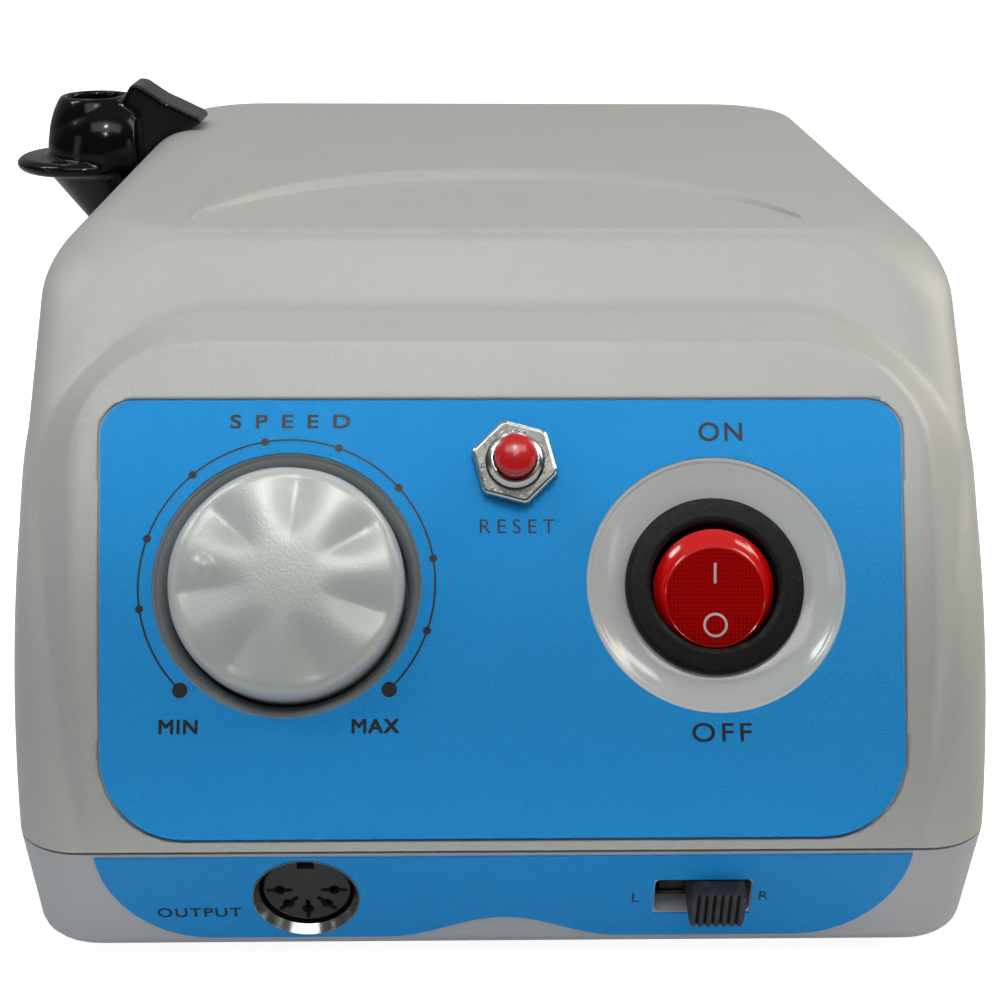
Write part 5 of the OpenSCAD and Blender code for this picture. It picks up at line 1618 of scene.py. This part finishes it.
@dataclass
class Studio:
    """The floor, the lights and the camera."""

    camera_place: Spot = (-0.005, -0.2917, 0.1404)
    camera_tilt: float = 69.5
    camera_pan: float = -1.2
    camera_roll: float = 0.3
    lens: float = 64.8
    floor_size: float = 3.0
    backdrop: float = 1.05
    fill: Pair = (0.04, 0.27)
    sky_axis: Spot = (0.0, 0.68, 0.73)
    sky_edge: Pair = (0.2, 0.6)
    floor_glow: float = 0.9
    beams: tuple[Beam, ...] = (
        Beam("key_high", (0.0, -0.45, 0.75), (0.0, -0.003, 0.09), 6.7, 0.012, 3.5, 4.0, 0.4),
        Beam("key_front", (0.0, -0.6, 0.6), (0.0, -0.003, 0.09), 6.2, 0.012, 2.9, 4.0, 0.5),
        Beam("foot", (0.0, -0.7, 0.06), (0.0, -0.09, 0.006), 2.4, 0.01, 1.75, 5.0, 0.8),
    )
    lights: tuple[Softbox, ...] = (
        Softbox("wide", (0.02, -0.52, 0.82), (0.0, -0.07, 0.06), (0.9, 0.3), 2.25),
        Softbox("right", (0.75, 0.2, 0.45), (0.0, -0.05, 0.06), (0.3, 0.45), 2.2, (1.0, 0.94, 0.83)),
        Softbox("right_high", (0.6, 0.0, 0.7), (0.05, -0.03, 0.07), (0.15, 0.3), 0.75, (1.0, 0.97, 0.9)),
        Softbox("left_high", (-0.6, 0.0, 0.7), (-0.05, -0.03, 0.07), (0.15, 0.3), 1.45, (0.93, 1.0, 1.0)),
        Softbox("left", (-0.8, -0.5, 0.25), (0.0, 0.0, 0.05), (0.2, 0.5), 0.35, (0.8, 0.95, 1.0)),
        Softbox("right_front", (0.7, -0.5, 0.25), (0.05, -0.03, 0.07), (0.15, 0.4), 0.25),
        Softbox("back_left", (-0.3, 0.62, 0.85), (0.0, 0.0, 0.05), (0.16, 0.16), 0.42),
        Softbox("back_right", (0.22, 0.62, 0.85), (0.0, 0.0, 0.05), (0.16, 0.16), 0.42),
    )

    def _floor(self) -> None:
        """Lays the pale floor."""
        bm = bmesh.new()
        bmesh.ops.create_grid(bm, x_segments=8, y_segments=8, size=self.floor_size)
        floor = to_object(bm, "floor")
        pale = FLOOR_PALE.material()
        floor.data.materials.append(pale)
        graph = Graph(pale.node_tree)
        shader = graph.tree.nodes["Principled BSDF"]
        seen = graph.node("ShaderNodeLightPath").outputs["Is Camera Ray"]
        glow = graph.node("ShaderNodeEmission", {"Strength": graph.math("MULTIPLY", seen, self.floor_glow)})
        both = graph.node("ShaderNodeAddShader", {0: shader.outputs[0], 1: glow.outputs[0]})
        graph.tree.links.new(both.outputs[0], graph.tree.nodes["Material Output"].inputs["Surface"])

    @staticmethod
    def _hang(lamp: bpy.types.Light, light: Softbox | Beam) -> bpy.types.Object:
        """Hangs a lamp at its place, out of the camera's sight, and gives it back."""
        lamp.energy = light.power
        lamp.color = light.colour
        carrier = bpy.data.objects.new(light.name, lamp)
        carrier.location = light.place
        carrier.visible_camera = False
        away = Vector(light.place) - Vector(light.aim)
        carrier.rotation_euler = away.to_track_quat("Z", "Y").to_euler()
        bpy.context.scene.collection.objects.link(carrier)
        return carrier

    def _light(self) -> None:
        """Hangs the beams and the soft lights."""
        for beam in self.beams:
            lamp = bpy.data.lights.new(beam.name, "SPOT")
            lamp.spot_size = math.radians(2 * beam.angle)
            lamp.spot_blend = beam.blend
            lamp.shadow_soft_size = beam.radius
            self._hang(lamp, beam).scale = (beam.spread, 1.0, 1.0)
        for box in self.lights:
            lamp = bpy.data.lights.new(box.name, "AREA")
            lamp.shape = "RECTANGLE"
            lamp.size, lamp.size_y = box.size
            self._hang(lamp, box)

    def _world(self) -> None:
        """Sets the white backdrop and the fill, which comes from above and behind."""
        world = bpy.data.worlds.new("studio")
        world.use_nodes = True
        graph = Graph(world.node_tree)
        seen = graph.node("ShaderNodeLightPath").outputs["Is Camera Ray"]
        facing = {0: graph.node("ShaderNodeTexCoord").outputs["Generated"], 1: self.sky_axis}
        reach = graph.node("ShaderNodeVectorMath", facing, operation="DOT_PRODUCT").outputs["Value"]
        strength = graph.span(reach, *self.sky_edge, *self.fill)
        fill = graph.node("ShaderNodeBackground", {"Color": (1, 1, 1, 1), "Strength": strength})
        back = graph.node("ShaderNodeBackground", {"Color": (1, 1, 1, 1), "Strength": self.backdrop})
        mix = graph.node("ShaderNodeMixShader", {0: seen, 1: fill.outputs[0], 2: back.outputs[0]})
        graph.tree.links.new(mix.outputs[0], world.node_tree.nodes["World Output"].inputs["Surface"])
        bpy.context.scene.world = world

    def build(self) -> None:
        """Sets the floor, the lights and the camera."""
        scene = bpy.context.scene
        self._floor()
        self._world()
        self._light()
        lens = bpy.data.cameras.new("photo_camera")
        lens.sensor_width = 36.0
        lens.lens = self.lens
        lens.clip_start = 0.01
        camera = bpy.data.objects.new("photo_camera", lens)
        turn = Matrix.Rotation(math.radians(self.camera_pan), 4, "Z")
        turn = turn @ Matrix.Rotation(math.radians(self.camera_tilt), 4, "X")
        turn = turn @ Matrix.Rotation(math.radians(self.camera_roll), 4, "Z")
        camera.matrix_world = Matrix.Translation(self.camera_place) @ turn
        scene.collection.objects.link(camera)
        scene.camera = camera
        scene.view_settings.view_transform = "Standard"
        LOG.info("studio: %d lights", len(self.beams) + len(self.lights))


def main() -> None:
    """Loads the frame and builds the whole dressed part."""
    logging.basicConfig(level=logging.INFO, format="%(message)s")
    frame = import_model()
    nodes = frame["nodes"]
    Studio().build()
    case, speed, power, button = Case(), SpeedControl(), PowerSwitch(), OverloadButton()
    case.hood(nodes, speed, power, button)
    case.tray(nodes)
    case.print_marks(speed)
    speed.build()
    power.build()
    button.build()
    MotorSocket().build(nodes)
    DirectionSwitch().build()
    HandpieceCup().build(nodes)
    Fittings().build(nodes)


if __name__ == "__main__":
    main()
